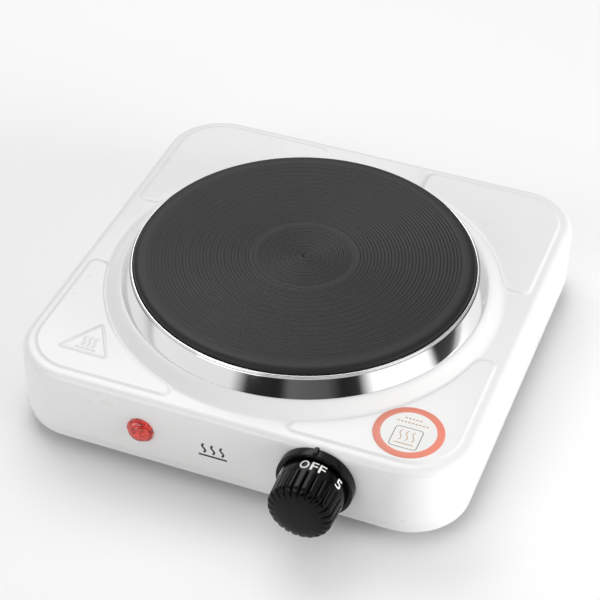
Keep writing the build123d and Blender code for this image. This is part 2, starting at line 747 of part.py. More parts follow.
# ---- feet, fasteners and label ------------------------------------------------------
def make_feet():
    """Four rubber feet, each with a pocket for its screw."""
    for corner, (x, y) in FOOT_SPOTS.items():
        with BuildPart() as foot:
            with BuildSketch(Plane.XY):
                with Locations((x, y)):
                    Circle(8.0)
            with BuildSketch(Plane.XY.offset(BASE_Z)):
                with Locations((x, y)):
                    Circle(9.5)
            loft()
            fillet(foot.faces().sort_by(Axis.Z)[0].edges(), 1.0)
            with BuildSketch(Plane.XY):
                with Locations((x, y)):
                    Circle(4.6)
            extrude(amount=4.0, mode=Mode.SUBTRACT)
            with BuildSketch(Plane.XY):
                with Locations((x, y)):
                    Circle(2.2)
            extrude(amount=BASE_Z, mode=Mode.SUBTRACT)
        save(foot, f"foot_{corner}")

    with BuildPart() as foot_screws:
        with BuildSketch(Plane.XY.offset(1.6)):
            with Locations(*FOOT_SPOTS.values()):
                Circle(4.2)
        extrude(amount=2.4)
        with BuildSketch(Plane.XY.offset(4.0)):
            with Locations(*FOOT_SPOTS.values()):
                Circle(2.0)
        extrude(amount=9)
        with BuildSketch(Plane.XY.offset(1.6)):
            with Locations(*FOOT_SPOTS.values()):
                Rectangle(4.4, 0.9)
                Rectangle(0.9, 4.4)
        extrude(amount=1.2, mode=Mode.SUBTRACT)
    save(foot_screws, "foot_screws")

    with BuildPart() as base_screws:
        with BuildSketch(Plane.XY.offset(BASE_Z - 2.0)):
            with Locations(*LUG_SPOTS):
                Circle(3.4)
        extrude(amount=2.0)
        with BuildSketch(Plane.XY.offset(BASE_Z)):
            with Locations(*LUG_SPOTS):
                Circle(1.75)
        extrude(amount=11)
        with BuildSketch(Plane.XY.offset(BASE_Z - 2.0)):
            with Locations(*LUG_SPOTS):
                Rectangle(3.8, 0.8)
                Rectangle(0.8, 3.8)
        extrude(amount=1.1, mode=Mode.SUBTRACT)
    save(base_screws, "base_screws")


def make_label():
    """Thin round label on the front-right corner field."""
    with BuildPart() as label:
        with BuildSketch(Plane.XY.offset(RIM_Z + FIELD_H)):
            with Locations(LABEL_AT):
                Circle(15.2)
        extrude(amount=0.2)
    save(label, "caution_label")


os.makedirs("parts", exist_ok=True)
make_housing()
make_base_plate()
make_cooking_plate()
make_heater()
make_plate_cover()
make_terminals()
make_trim_ring()
make_clamp()
make_cutout()
make_thermostat()
make_knob()
make_lamp()
make_terminal_block()
make_gland()
make_leads()
make_feet()
make_label()
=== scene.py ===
# %% [markdown]
# # A single electric hot plate
# A small table-top cooker: a pressed steel housing painted white, a heavy iron plate in a
# bright spun ring, a black heat knob and a red pilot lamp. Every shape here is a surface
# worked out with numpy, as a grid of points given by a formula or as a profile carried
# round a circle or along a path. The cells go from the camera to the pieces that are seen
# first, then to the small ones.

import json
from math import cos, pi, radians, sin, tau

import bmesh
import bpy
import numpy as np
from mathutils import Matrix, Vector


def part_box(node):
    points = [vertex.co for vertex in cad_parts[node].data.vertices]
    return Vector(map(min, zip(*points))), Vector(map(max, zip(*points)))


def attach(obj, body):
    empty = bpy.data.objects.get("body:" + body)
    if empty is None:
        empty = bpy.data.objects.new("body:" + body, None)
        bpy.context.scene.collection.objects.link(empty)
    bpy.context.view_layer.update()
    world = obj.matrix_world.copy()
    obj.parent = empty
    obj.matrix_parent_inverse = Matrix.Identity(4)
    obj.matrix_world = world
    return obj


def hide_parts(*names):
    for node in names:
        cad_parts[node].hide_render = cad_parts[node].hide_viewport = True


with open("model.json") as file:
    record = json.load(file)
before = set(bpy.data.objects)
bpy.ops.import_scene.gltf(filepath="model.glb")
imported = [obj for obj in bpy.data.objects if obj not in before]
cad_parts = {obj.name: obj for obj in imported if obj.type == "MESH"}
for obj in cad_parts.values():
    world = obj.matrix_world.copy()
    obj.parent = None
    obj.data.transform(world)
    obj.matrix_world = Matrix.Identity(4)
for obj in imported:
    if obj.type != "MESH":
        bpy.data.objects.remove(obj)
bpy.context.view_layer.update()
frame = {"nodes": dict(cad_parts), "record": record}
MM = 0.001


def cad(node):
    """Lowest and highest corner of a CAD node, in millimetres."""
    low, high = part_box(node)
    return np.array(low) / MM, np.array(high) / MM


HOUSING_LOW, HOUSING_HIGH = cad("housing")
PLATE_LOW, PLATE_HIGH = cad("cooking_plate")
RING_LOW, RING_HIGH = cad("trim_ring")
KNOB_LOW, KNOB_HIGH = cad("knob")
LAMP_LOW, LAMP_HIGH = cad("lamp_lens")
LABEL_LOW, LABEL_HIGH = cad("caution_label")
FRONT = HOUSING_LOW[1]
REAR = HOUSING_HIGH[1]
print("housing", HOUSING_LOW.round(1), HOUSING_HIGH.round(1))

# %% [markdown]
# ## The camera
# The cooker is seen from the front, a little from its right and well from above. A long
# lens keeps the square housing nearly square. The camera's place is worked out from two
# angles, a distance and the point it looks at, and a small roll about its own axis.

# %% Camera
AIM = np.array([0.04, -5.8, 37.0])
AZIMUTH, ELEVATION, ROLL = radians(20.577), radians(40.026), radians(0.878)
DISTANCE, LENS = 835.1, 109.6

toward_camera = np.array(
    [sin(AZIMUTH) * cos(ELEVATION), -cos(AZIMUTH) * cos(ELEVATION), sin(ELEVATION)]
)
eye = AIM + DISTANCE * toward_camera
lens_data = bpy.data.cameras.new("camera")
lens_data.lens = LENS
lens_data.sensor_width = 36.0
camera = bpy.data.objects.new("camera", lens_data)
turn = Vector(toward_camera).to_track_quat("Z", "Y").to_matrix().to_4x4()
camera.matrix_world = Matrix.Translation(Vector(eye * MM)) @ turn @ Matrix.Rotation(ROLL, 4, "Z")
bpy.context.scene.collection.objects.link(camera)
bpy.context.scene.camera = camera
print("camera at", (eye * MM).round(3))

# %% [markdown]
# ## Light
# A white object shows its shape only by small differences in shade, so the light is broad:
# a large soft box above and behind, one to the right that whitens the right wall and is
# hidden from mirror-like metal, a weak one in front, and a room. Polished metal shows the
# room itself, so the room's walls have tall white panels with dark gaps between them, as in
# a studio, set by their bearing, and a pale ceiling. Seen straight on, the room is plain.

# %% Room and lamps
scene = bpy.context.scene
scene.view_settings.view_transform = "Standard"

room = bpy.data.worlds.new("studio")
room.use_nodes = True
scene.world = room


def node(owner, kind, inputs=None, **settings):
    """Add one shader node to a material or a world, with its settings and input values."""
    made = owner.node_tree.nodes.new(kind)
    for key, value in settings.items():
        setattr(made, key, value)
    for key, value in (inputs or {}).items():
        made.inputs[key].default_value = value
    return made


def wire(owner, output, target):
    """Join a node's output to another node's input."""
    owner.node_tree.links.new(output, target)


def soft_box(name, place, target, width, height, power):
    """One rectangular lamp at a place, facing a target, both in millimetres."""
    data = bpy.data.lights.new(name, "AREA")
    data.shape = "RECTANGLE"
    data.size, data.size_y = width * MM, height * MM
    data.energy = power
    lamp = bpy.data.objects.new(name, data)
    away = Vector(place) - Vector(target)
    facing = away.to_track_quat("Z", "Y").to_matrix().to_4x4()
    lamp.matrix_world = Matrix.Translation(Vector(place) * MM) @ facing
    scene.collection.objects.link(lamp)
    return lamp


ROOM_STRENGTH = 0.62
CEILING_FROM, CEILING_FULL = 0.44, 0.60  # sine of the elevation where the ceiling takes over
CEILING_TONE = 0.95
seen = node(room, "ShaderNodeBackground", {"Color": (1.0, 1.0, 1.0, 1), "Strength": 1.0})
lit = room.node_tree.nodes["Background"]
lit.inputs["Strength"].default_value = ROOM_STRENGTH
way = node(room, "ShaderNodeTexCoord")
split = node(room, "ShaderNodeSeparateXYZ")
wire(room, way.outputs["Generated"], split.inputs[0])
toward_front = node(room, "ShaderNodeMath", operation="MULTIPLY")
toward_front.inputs[1].default_value = -1.0
wire(room, split.outputs["Y"], toward_front.inputs[0])
bearing = node(room, "ShaderNodeMath", operation="ARCTAN2")
wire(room, split.outputs["X"], bearing.inputs[0])
wire(room, toward_front.outputs[0], bearing.inputs[1])
share = node(room, "ShaderNodeMapRange", {"From Min": -pi, "From Max": pi})
wire(room, bearing.outputs[0], share.inputs["Value"])
walls = node(room, "ShaderNodeValToRGB")
# each stop: degrees from the front, toward +X positive, and brightness
WALL_PANELS = [
    (-150, 0.55), (-84, 0.45), (-74, 1.5), (-20, 1.4), (-11, 0.03), (8, 0.03), (13, 0.22), (34, 0.16),
    (42, 0.03), (52, 0.04), (60, 2.1), (95, 2.0), (100, 0.05), (128, 0.08), (150, 0.26),
]
while len(walls.color_ramp.elements) < len(WALL_PANELS):
    walls.color_ramp.elements.new(0.5)
for stop, (degrees, level) in zip(walls.color_ramp.elements, WALL_PANELS):
    stop.position = (degrees + 180) / 360
    stop.color = (level, level, level, 1)
wire(room, share.outputs[0], walls.inputs["Fac"])
ceiling = node(
    room, "ShaderNodeMapRange", {"From Min": CEILING_FROM, "From Max": CEILING_FULL},
    interpolation_type="SMOOTHSTEP",
)
wire(room, split.outputs["Z"], ceiling.inputs["Value"])
tone = node(room, "ShaderNodeMix", data_type="RGBA")
tone.inputs["B"].default_value = (CEILING_TONE, CEILING_TONE, CEILING_TONE, 1)
wire(room, walls.outputs["Color"], tone.inputs["A"])
wire(room, ceiling.outputs[0], tone.inputs["Factor"])
wire(room, tone.outputs["Result"], lit.inputs["Color"])
rays = node(room, "ShaderNodeLightPath")
pick = node(room, "ShaderNodeMixShader")
wire(room, rays.outputs["Is Camera Ray"], pick.inputs[0])
wire(room, lit.outputs[0], pick.inputs[1])
wire(room, seen.outputs[0], pick.inputs[2])
wire(room, pick.outputs[0], room.node_tree.nodes["World Output"].inputs["Surface"])

soft_box("soft_box_above", (-450, 560, 980), (0, 0, 40), 900, 700, 5.2)
soft_box("soft_box_right", (1000, -60, 230), (0, 0, 20), 700, 400, 8.0).visible_glossy = False
soft_box("soft_box_front", (-500, -1100, 700), (0, 0, 20), 900, 500, 3.2)
print("lamps 3, wall panels", len(WALL_PANELS))

# %% [markdown]
# ## The floor
# One pale sheet, far larger than the object, so that the housing has something to stand on
# and its shadow somewhere to fall.

# %% Floor
def new_mesh(name, points, faces, smooth=True):
    """Mesh from an N x 3 array of millimetre points and an M x 3 or M x 4 array of faces."""
    mesh = bpy.data.meshes.new(name)
    mesh.vertices.add(len(points))
    mesh.vertices.foreach_set("co", (np.asarray(points) * MM).astype(np.float32).ravel())
    corners = faces.shape[1]
    mesh.loops.add(faces.size)
    mesh.loops.foreach_set("vertex_index", faces.astype(np.int32).ravel())
    mesh.polygons.add(len(faces))
    mesh.polygons.foreach_set("loop_start", np.arange(0, faces.size, corners, dtype=np.int32))
    mesh.polygons.foreach_set("use_smooth", np.full(len(faces), smooth))
    mesh.update(calc_edges=True)
    mesh.validate()
    return mesh


def as_object(mesh, name):
    """Put a mesh in the scene as an object at the origin."""
    made = bpy.data.objects.new(name, mesh)
    scene.collection.objects.link(made)
    return made


FLOOR_HALF = 3000.0
floor_corners = FLOOR_HALF * np.array([[-1, -1, 0], [1, -1, 0], [1, 1, 0], [-1, 1, 0]])
floor = as_object(new_mesh("floor", floor_corners, np.array([[0, 1, 2, 3]])), "floor")
floor_paint = bpy.data.materials.new("pale_floor")
floor_paint.use_nodes = True
floor_shader = floor_paint.node_tree.nodes["Principled BSDF"]
floor_shader.inputs["Base Color"].default_value = (0.92, 0.92, 0.92, 1)
floor_shader.inputs["Roughness"].default_value = 0.85
floor_shader.inputs["Specular IOR Level"].default_value = 0.2
floor.data.materials.append(floor_paint)
print("floor", len(floor.data.polygons), "face")

# %% [markdown]
# ## Finishes
# No real surface is one colour. A finish here starts from a colour and a roughness and lets
# both wander a little with a noise, and a second, finer noise makes the bump: orange peel
# on paint, the mould's grain on plastic, the rolling marks on sheet. The patterns read
# Object coordinates, so they keep their size in metres and stay on the piece.

# %% A wandering finish
def finish(name, dark, light, rough, patch=18.0, grain=1.2, bump=0.05, metal=0.0, stretch=(1, 1, 1)):
    """Material whose colour goes from dark to light and whose roughness goes over rough,
    both by a noise with patches of the given size, with a bump by a noise of size grain.
    Sizes are in millimetres; stretch divides the pattern's size along each axis."""
    made = bpy.data.materials.new(name)
    made.use_nodes = True
    shader = made.node_tree.nodes["Principled BSDF"]
    shader.inputs["Metallic"].default_value = metal
    place = node(made, "ShaderNodeTexCoord")
    scaled = node(made, "ShaderNodeMapping", {"Scale": stretch})
    wire(made, place.outputs["Object"], scaled.inputs["Vector"])
    broad = node(made, "ShaderNodeTexNoise", {"Scale": 1000 / patch, "Detail": 5.0, "Roughness": 0.6})
    wire(made, scaled.outputs[0], broad.inputs["Vector"])
    shade = node(made, "ShaderNodeMix", data_type="RGBA")
    shade.inputs["A"].default_value = (*dark, 1)
    shade.inputs["B"].default_value = (*light, 1)
    wire(made, broad.outputs["Fac"], shade.inputs["Factor"])
    wire(made, shade.outputs["Result"], shader.inputs["Base Color"])
    gloss = node(made, "ShaderNodeMapRange", {"To Min": rough[0], "To Max": rough[1]})
    wire(made, broad.outputs["Fac"], gloss.inputs["Value"])
    wire(made, gloss.outputs[0], shader.inputs["Roughness"])
    fine = node(made, "ShaderNodeTexNoise", {"Scale": 1000 / grain, "Detail": 3.0})
    wire(made, scaled.outputs[0], fine.inputs["Vector"])
    relief = node(made, "ShaderNodeBump", {"Strength": bump, "Distance": 0.0002})
    wire(made, fine.outputs["Fac"], relief.inputs["Height"])
    wire(made, relief.outputs[0], shader.inputs["Normal"])
    return made


def shader_of(material):
    """The material's main shader."""
    return material.node_tree.nodes["Principled BSDF"]


enamel = finish("white_enamel", (0.79, 0.79, 0.785), (0.82, 0.82, 0.815), (0.24, 0.34), 26, 2.2, 0.06)
shader_of(enamel).inputs["Coat Weight"].default_value = 0.3
shader_of(enamel).inputs["Coat Roughness"].default_value = 0.12
print("finish", enamel.name)

# %% [markdown]
# ## The housing
# The housing is pressed from one sheet: a square with rounded corners, a soft top edge, a
# low dome under the plate and four raised fields, one in each corner. Cubes with bevels
# could give the square but not the soft pressing, and a sculpt would not be exact. Here
# the shape is a grid. One direction runs round the square, the other runs from the round
# mouth out to the rim, down the wall, under the folded edge and back up inside, so the
# grid closes on itself. The lines of the grid are set close where the pressing bends.

# %% Round the square
HALF = (HOUSING_HIGH[0] - HOUSING_LOW[0]) / 2
MIDDLE_Y = (FRONT + REAR) / 2
CORNER = 28.0  # radius of the square's corners
AROUND = 800  # points round the square
TIP_AT = 26  # ends of the raised fields, from a side's middle


def square_outline(count):
    """Points and outward normals round a square with rounded corners.
    A quarter is one straight side, then one arc, and is turned four times. The steps
    round it are shorter near the ends of the raised fields."""
    side = 2 * (HALF - CORNER)
    quarter = side + CORNER * pi / 2
    fine = np.linspace(0, quarter, 4001)
    near_tip = np.exp(-(((np.abs(fine - side / 2) - TIP_AT) / 3.5) ** 2))
    weight = np.cumsum(1 + 2.2 * near_tip)
    weight = (weight - weight[0]) / (weight[-1] - weight[0])
    along = np.interp(np.arange(count // 4) / (count // 4), weight, fine)
    bend = np.clip((along - side) / CORNER, 0, pi / 2)
    normal = np.stack([np.cos(bend), np.sin(bend)], 1)
    straight = np.minimum(along, side) - side / 2
    rise = np.where(along < side, straight, HALF - CORNER)
    base = np.stack([np.full_like(along, HALF - CORNER), rise], 1)
    point = base + CORNER * normal
    turns = [np.array([[cos(a), sin(a)], [-sin(a), cos(a)]]) for a in (0, pi / 2, pi, 3 * pi / 2)]
    points = np.concatenate([point @ turn for turn in turns])
    normals = np.concatenate([normal @ turn for turn in turns])
    return points + (0, MIDDLE_Y), normals


OUTLINE, OUTWARD = square_outline(AROUND)
print("outline", OUTLINE.shape, "from", OUTLINE.min(0).round(1), "to", OUTLINE.max(0).round(1))

# %% [markdown]
# The height of the top is a formula too. Each raised field is bounded by three curves: a
# line set in from the housing's side, an arc about the plate and a short end. The distance
# to the nearest of the three, with the corners between them rounded off, goes through an
# S-curve, so the step has a soft foot and a soft shoulder.

# %% Height of the top
RIM = 42.4  # height of the flat rim
DOME_TOP = RING_LOW[2]
DOME_FOOT, DOME_SHOULDER = 92.2, 83.2  # radii where the dome starts and where it is level
FIELD_RISE = 0.8
FIELD_INSET = 6.4  # from the housing's side
FIELD_ARC = 91.3  # radius of the arc that bounds the fields
FIELD_END_X, FIELD_END_Y = 27, 25  # half gaps between two fields


def s_curve(value, low, high):
    """0 below low, 1 above high, and the cubic 3t^2 - 2t^3 between them."""
    t = np.clip((value - low) / (high - low), 0, 1)
    return t * t * (3 - 2 * t)


def soft_min(a, b, reach):
    """The lesser of two values, rounded off where they differ by less than reach."""
    blend = np.clip(0.5 + 0.5 * (b - a) / reach, 0, 1)
    return b + (a - b) * blend - reach * blend * (1 - blend)


def inset_of(x, y):
    """Distance inward from the housing's side: zero on the outline, positive inside."""
    qx = np.abs(x) - (HALF - CORNER)
    qy = np.abs(y - MIDDLE_Y) - (HALF - CORNER)
    outside = np.hypot(np.maximum(qx, 0), np.maximum(qy, 0))
    return CORNER - outside - np.minimum(np.maximum(qx, qy), 0)


def top_height(x, y, fields=True):
    """Height of the pressed top: flat rim, dome toward the middle, four raised fields."""
    radius = np.hypot(x, y)
    height = RIM + (DOME_TOP - RIM) * s_curve(-radius, -DOME_FOOT, -DOME_SHOULDER)
    if fields:
        ends = soft_min(np.abs(x) - FIELD_END_X, np.abs(y - MIDDLE_Y) - FIELD_END_Y, 4.0)
        bounds = soft_min(inset_of(x, y) - FIELD_INSET, radius - FIELD_ARC, 5.0)
        height = height + FIELD_RISE * s_curve(soft_min(bounds, ends, 4.0), -0.9, 0.9)
    return height


print("corner field height", top_height(np.array([80.0]), np.array([-75.0])).round(2))

# %% [markdown]
# The grid's rows come next. On the top they are circles near the mouth and follow the square
# near the rim, so no row cuts across a bend. The rounded edge is a quarter circle, and the
# wall ends in a narrow band set in by the fold. The same rows, a sheet's thickness lower, are
# the inside.

# %% Rows of the housing
EDGE = 4.0  # radius of the rounded top edge
SHEET = 0.8
LOW = HOUSING_LOW[2]
FOLD_TOP = LOW + 3.6
FOLD_SET = 0.7
FOLD_SLOPE = 0.8  # height of the slope above the fold
MOUTH = 80.0
FOLLOW_FROM = 7.4  # inset inside which rows no longer follow the square


def wall_row(inset, height):
    """One row that follows the outline, set in by inset, at one height."""
    flat = OUTLINE - OUTWARD * inset
    return np.column_stack([flat, np.full(AROUND, height)])


def top_rows(lower=0.0, fields=True, dense=1.0):
    """Rows from the mouth to the start of the rounded edge, lowered by lower.
    Near the rim a row is the outline set in; near the dome it is a circle. Between
    them the rows go evenly along rays from the plate's middle."""
    bend = OUTLINE - OUTWARD * FOLLOW_FROM
    reach = np.hypot(*bend.T)
    ray = bend / reach[:, None]
    outer_arc = np.minimum(DOME_FOOT + 1.2, reach - 0.3)
    circles = [np.full(AROUND, radius) for radius in (MOUTH, DOME_SHOULDER, 86.5, 89.6)]
    knots = circles + [outer_arc, reach]
    counts = [2, 6, 7, 12, 22]
    rows = []
    for inner, outer, count in zip(knots[:-1], knots[1:], counts):
        steps = max(1, round(count * dense))
        for share in np.arange(steps) / steps:
            rows.append(ray * (inner + (outer - inner) * share)[:, None])
    for inset in np.linspace(FOLLOW_FROM, EDGE, max(3, round(15 * dense))):
        rows.append(OUTLINE - OUTWARD * inset)
    flat = np.array(rows)
    height = top_height(flat[..., 0], flat[..., 1], fields) - lower
    return np.concatenate([flat, height[..., None]], axis=2)


def edge_rows(radius, offset, top, count):
    """Rows of the rounded top edge: a quarter circle from the top to the wall."""
    return [
        wall_row(offset + radius * (1 - sin(a)), top - radius * (1 - cos(a)))
        for a in np.linspace(0, pi / 2, count + 1)[1:]
    ]


outside = list(top_rows())
outside += edge_rows(EDGE, 0.0, RIM, 10)
outside += [wall_row(0, z) for z in np.linspace(RIM - EDGE, FOLD_TOP + FOLD_SLOPE, 6)[1:]]
fold_steps = np.linspace(0, 1, 8)[1:]
outside += [wall_row(FOLD_SET * s_curve(t, 0, 1), FOLD_TOP + FOLD_SLOPE - 1.2 * t) for t in fold_steps]
outside += [wall_row(FOLD_SET + set_in, LOW + up) for set_in, up in ((0, 0.5), (0.15, 0.15), (0.4, 0))]
inside = [wall_row(FOLD_SET + SHEET, LOW + 0.1), wall_row(FOLD_SET + SHEET, FOLD_TOP)]
inside.append(wall_row(SHEET, FOLD_TOP + 1.5))
inside += edge_rows(EDGE - SHEET, SHEET, RIM - SHEET, 4)[::-1]
inside += list(top_rows(SHEET, False, 0.3))[::-1]
shell = np.array(outside + inside)
print("housing grid", shell.shape[:2])

# %% [markdown]
# The rear wall has a row of cooling slots and a hole for the mains lead, and the front wall
# has holes behind the lamp and the knob. Cutting them into the grid by hand would spoil its
# even rows, so they are cut last, by taking away simple prisms. This cell holds the tools
# for that, and those that turn a grid of points into a finished piece.

# %% Surfaces and solids from profiles
def grid_faces(rows, columns, close_rows=False, close_columns=True):
    """Quads of a grid of points, row by row; a closed side joins its last line to its first."""
    row = np.arange(rows if close_rows else rows - 1)[:, None]
    column = np.arange(columns if close_columns else columns - 1)[None, :]
    next_row, next_column = (row + 1) % rows, (column + 1) % columns
    here, ahead = row * columns, next_row * columns
    quads = [here + column, here + next_column, ahead + next_column, ahead + column]
    return np.stack(quads, axis=-1).reshape(-1, 4)


def tidy(mesh, sharp=None):
    """Merge doubled points, close poles and turn all faces outward. Edges sharper than
    sharp, in degrees, are marked if it is given."""
    work = bmesh.new()
    work.from_mesh(mesh)
    bmesh.ops.remove_doubles(work, verts=work.verts, dist=1e-7)
    bmesh.ops.dissolve_degenerate(work, edges=work.edges, dist=1e-8)
    bmesh.ops.recalc_face_normals(work, faces=work.faces)
    work.to_mesh(mesh)
    work.free()
    if sharp:
        mesh.set_sharp_from_angle(angle=radians(sharp))
    return mesh


def piece(name, points, faces, material, body="housing_body", replaces=(), sharp=None, smooth=True):
    """Finished object from arrays: tidied, given its material, and fixed to its body."""
    made = as_object(tidy(new_mesh(name, points, faces, smooth), sharp), name)
    made.data.materials.append(material)
    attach(made, body)
    if replaces:
        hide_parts(*replaces)
    print(name, len(made.data.polygons), "faces")
    return made


def prism(outline_xz, y_low, y_high):
    """Points and faces of a prism along Y over a closed outline in X and Z."""
    count = len(outline_xz)
    points = np.concatenate([np.insert(outline_xz, 1, y, axis=1) for y in (y_low, y_high)])
    middle = np.array([np.insert(outline_xz.mean(0), 1, y) for y in (y_low, y_high)])
    ring = np.arange(count)
    sides = grid_faces(2, count)
    ends = []
    for side in (0, 1):
        here = ring + side * count
        hub = np.full(count, 2 * count + side)
        ends.append(np.stack([here, np.roll(ring, -1) + side * count, hub, hub], 1))
    return np.concatenate([points, middle]), np.concatenate([sides] + ends)


def slot_outline(x, z, width, height, steps=24):
    """Outline of an upright slot with round ends: a circle whose halves are pulled apart."""
    angle = np.arange(steps) / steps * tau
    lift = np.sign(np.sin(angle + 1e-6)) * (height - width) / 2
    return np.column_stack([x + width / 2 * np.cos(angle), z + width / 2 * np.sin(angle) + lift])


def cut_away(target, cutters):
    """Take prisms away from an object and keep the result as its mesh."""
    tools = []
    for points, faces in cutters:
        tool = as_object(tidy(new_mesh("cutter", points, faces, False)), "cutter")
        step = target.modifiers.new("cut", "BOOLEAN")
        step.operation, step.solver, step.object = "DIFFERENCE", "EXACT", tool
        tools.append(tool)
    view = bpy.context.evaluated_depsgraph_get()
    cut = bpy.data.meshes.new_from_object(target.evaluated_get(view))
    target.modifiers.clear()
    target.data = cut
    for tool in tools:
        bpy.data.objects.remove(tool, do_unlink=True)


print("tools ready: grid_faces, tidy, piece, prism, slot_outline, cut_away")

# %% [markdown]
# The housing is now put together and its holes are cut: nine slots and the bush's hole
# behind, and the holes of the spindle, its two screws and the lamp in front. Afterwards only
# edges sharper than 35 degrees are shaded as edges, which keeps the pressing smooth and the
# rims of the holes crisp.

# %% The housing
housing = piece(
    "housing_shell", shell.reshape(-1, 3), grid_faces(len(shell), AROUND, close_rows=True),
    enamel, replaces=["housing"],
)
GLAND_LOW, GLAND_HIGH = cad("cord_gland")
GLAND_X = (GLAND_LOW[0] + GLAND_HIGH[0]) / 2
GLAND_Z = (GLAND_LOW[2] + GLAND_HIGH[2]) / 2
KNOB_X = (KNOB_LOW[0] + KNOB_HIGH[0]) / 2
LAMP_X = (LAMP_LOW[0] + LAMP_HIGH[0]) / 2
KNOB_Z = (KNOB_LOW[2] + KNOB_HIGH[2]) / 2
LAMP_Z = (LAMP_LOW[2] + LAMP_HIGH[2]) / 2
SLOT_MIDDLE, SLOT_PITCH, SLOT_Z = 30, 9.0, 24
SLOT_WIDTH, SLOT_HEIGHT = 3.2, 14
SCREW_OFF = 11  # thermostat screws, to the left and right of the spindle
THROUGH = 3  # a cutter's reach on either side of the wall
SLOT_X = SLOT_MIDDLE + SLOT_PITCH * (np.arange(9) - 4)
rear_cuts = [
    prism(slot_outline(x, SLOT_Z, SLOT_WIDTH, SLOT_HEIGHT), REAR - THROUGH, REAR + THROUGH) for x in SLOT_X
]
rear_cuts.append(prism(slot_outline(GLAND_X, GLAND_Z, 12, 12, 48), REAR - THROUGH, REAR + THROUGH))
front_holes = [(KNOB_X, KNOB_Z, 4.6), (LAMP_X, LAMP_Z, 5.0)]
front_holes += [(KNOB_X + off, KNOB_Z, 1.6) for off in (-SCREW_OFF, SCREW_OFF)]
front_cuts = [
    prism(slot_outline(x, z, 2 * r, 2 * r, 32), FRONT - THROUGH, FRONT + THROUGH) for x, z, r in front_holes
]
cut_away(housing, rear_cuts + front_cuts)
housing.data.polygons.foreach_set("use_smooth", np.full(len(housing.data.polygons), True))
housing.data.set_sharp_from_angle(angle=radians(35))
print("housing after the cuts", len(housing.data.polygons), "faces")

# %% [markdown]
# ## The raised sign
# The front-left field carries a triangle with three heat waves, pressed in the same sheet.
# Each line is a low bell-shaped ridge carried along a path, and sunk a little, so that it
# grows out of the paint with no gap.

# %% A ridge along a path
def smooth_path(corners, closed=False, radius=1.0, steps=6):
    """Polyline through corners whose bends are rounded: at each corner a parabola runs
    from one side to the other, radius away from the corner."""
    corners = np.asarray(corners, float)
    out = []
    last = len(corners)
    for index in range(last):
        here, before, after = corners[index], corners[index - 1], corners[(index + 1) % last]
        if not closed and index in (0, last - 1):
            out.append(here[None])
            continue
        back, ahead = before - here, after - here
        cut = min(radius, 0.49 * np.linalg.norm(back), 0.49 * np.linalg.norm(ahead))
        start = here + back / np.linalg.norm(back) * cut
        end = here + ahead / np.linalg.norm(ahead) * cut
        t = np.linspace(0, 1, steps)[:, None]
        out.append((1 - t) ** 2 * start + 2 * t * (1 - t) * here + t**2 * end)
    return np.concatenate(out)


def ridge(path, width, rise, sink=0.3, closed=False, across=9):
    """Low ridge along a flat path: across it, the height is a raised cosine, and the
    underside is flat. Returns points relative to the surface, and faces."""
    path = np.asarray(path, float)
    if closed:
        ahead = np.roll(path, -1, 0) - np.roll(path, 1, 0)
    else:
        ahead = np.gradient(path, axis=0)
    ahead /= np.linalg.norm(ahead, axis=1)[:, None]
    left = np.column_stack([-ahead[:, 1], ahead[:, 0]])
    t = np.linspace(-1, 1, across)
    top = np.column_stack([t * width / 2, rise * (0.5 + 0.5 * np.cos(pi * t))])
    low = np.column_stack([t[::-1] * width / 2, np.full(across, -sink)])
    section = np.concatenate([top, low])
    flat = path[:, None, :] + left[:, None, :] * section[None, :, :1]
    height = np.broadcast_to(section[None, :, 1], flat.shape[:2])
    points = np.concatenate([flat, height[..., None]], axis=2)
    if not closed:
        middle = points[[0, -1]].mean(1, keepdims=True)
        caps = np.broadcast_to(middle, (2, len(section), 3))
        points = np.concatenate([caps[:1], points, caps[1:]])
    return points.reshape(-1, 3), grid_faces(len(points), len(section), close_rows=closed)


def together(parts):
    """Join several (points, faces) pairs into one pair."""
    starts = np.cumsum([0] + [len(points) for points, _ in parts[:-1]])
    all_faces = [faces + start for (_, faces), start in zip(parts, starts)]
    return np.concatenate([points for points, _ in parts]), np.concatenate(all_faces)


def wave(x, y_low, y_high, swing, turns=1.0, count=25):
    """Upright wavy line: x swings as a sine while y rises."""
    t = np.linspace(0, 1, count)
    return np.column_stack([x + swing * np.sin(tau * turns * t), y_low + (y_high - y_low) * t])


SIGN_AT = np.array([-72.6, -74.3])
SIGN_REACH = 13.3
FIELD_TOP = RIM + FIELD_RISE
WAVE_GAP = 2.6
LINE_WIDTH, LINE_RISE = 1.2, 0.32
corner_angles = radians(90) + np.arange(3) * tau / 3
triangle = SIGN_AT + SIGN_REACH * np.column_stack([np.cos(corner_angles), np.sin(corner_angles)])
sign_lines = [ridge(smooth_path(triangle, closed=True, radius=1.8, steps=8), 1.7, 0.4, closed=True)]
for across in (-WAVE_GAP, 0, WAVE_GAP):
    waved = wave(SIGN_AT[0] + across, SIGN_AT[1] - 2.6, SIGN_AT[1] + 3.6, 0.55)
    sign_lines.append(ridge(waved, LINE_WIDTH, LINE_RISE))
bar = np.linspace(SIGN_AT + (-4.6, -4.2), SIGN_AT + (4.6, -4.2), 8)
sign_lines.append(ridge(bar, LINE_WIDTH, LINE_RISE))
sign_points, sign_faces = together(sign_lines)
sign_points[:, 2] += FIELD_TOP
piece("heat_sign", sign_points, sign_faces, enamel)

# %% [markdown]
# ## The iron plate
# The plate is cast, then turned on a lathe, which leaves fine rings on top: wide ones
# outside, narrow ones inside a plain ring, and a small dimple at the centre. So it is made
# the same way here, as one profile spun about the upright axis, with the rings in the
# profile itself, since they catch the light differently all the way round. The rim is
# rounded off to a short upright side. Underneath are the walls that hold the coils and the
# hole of the centre stud.

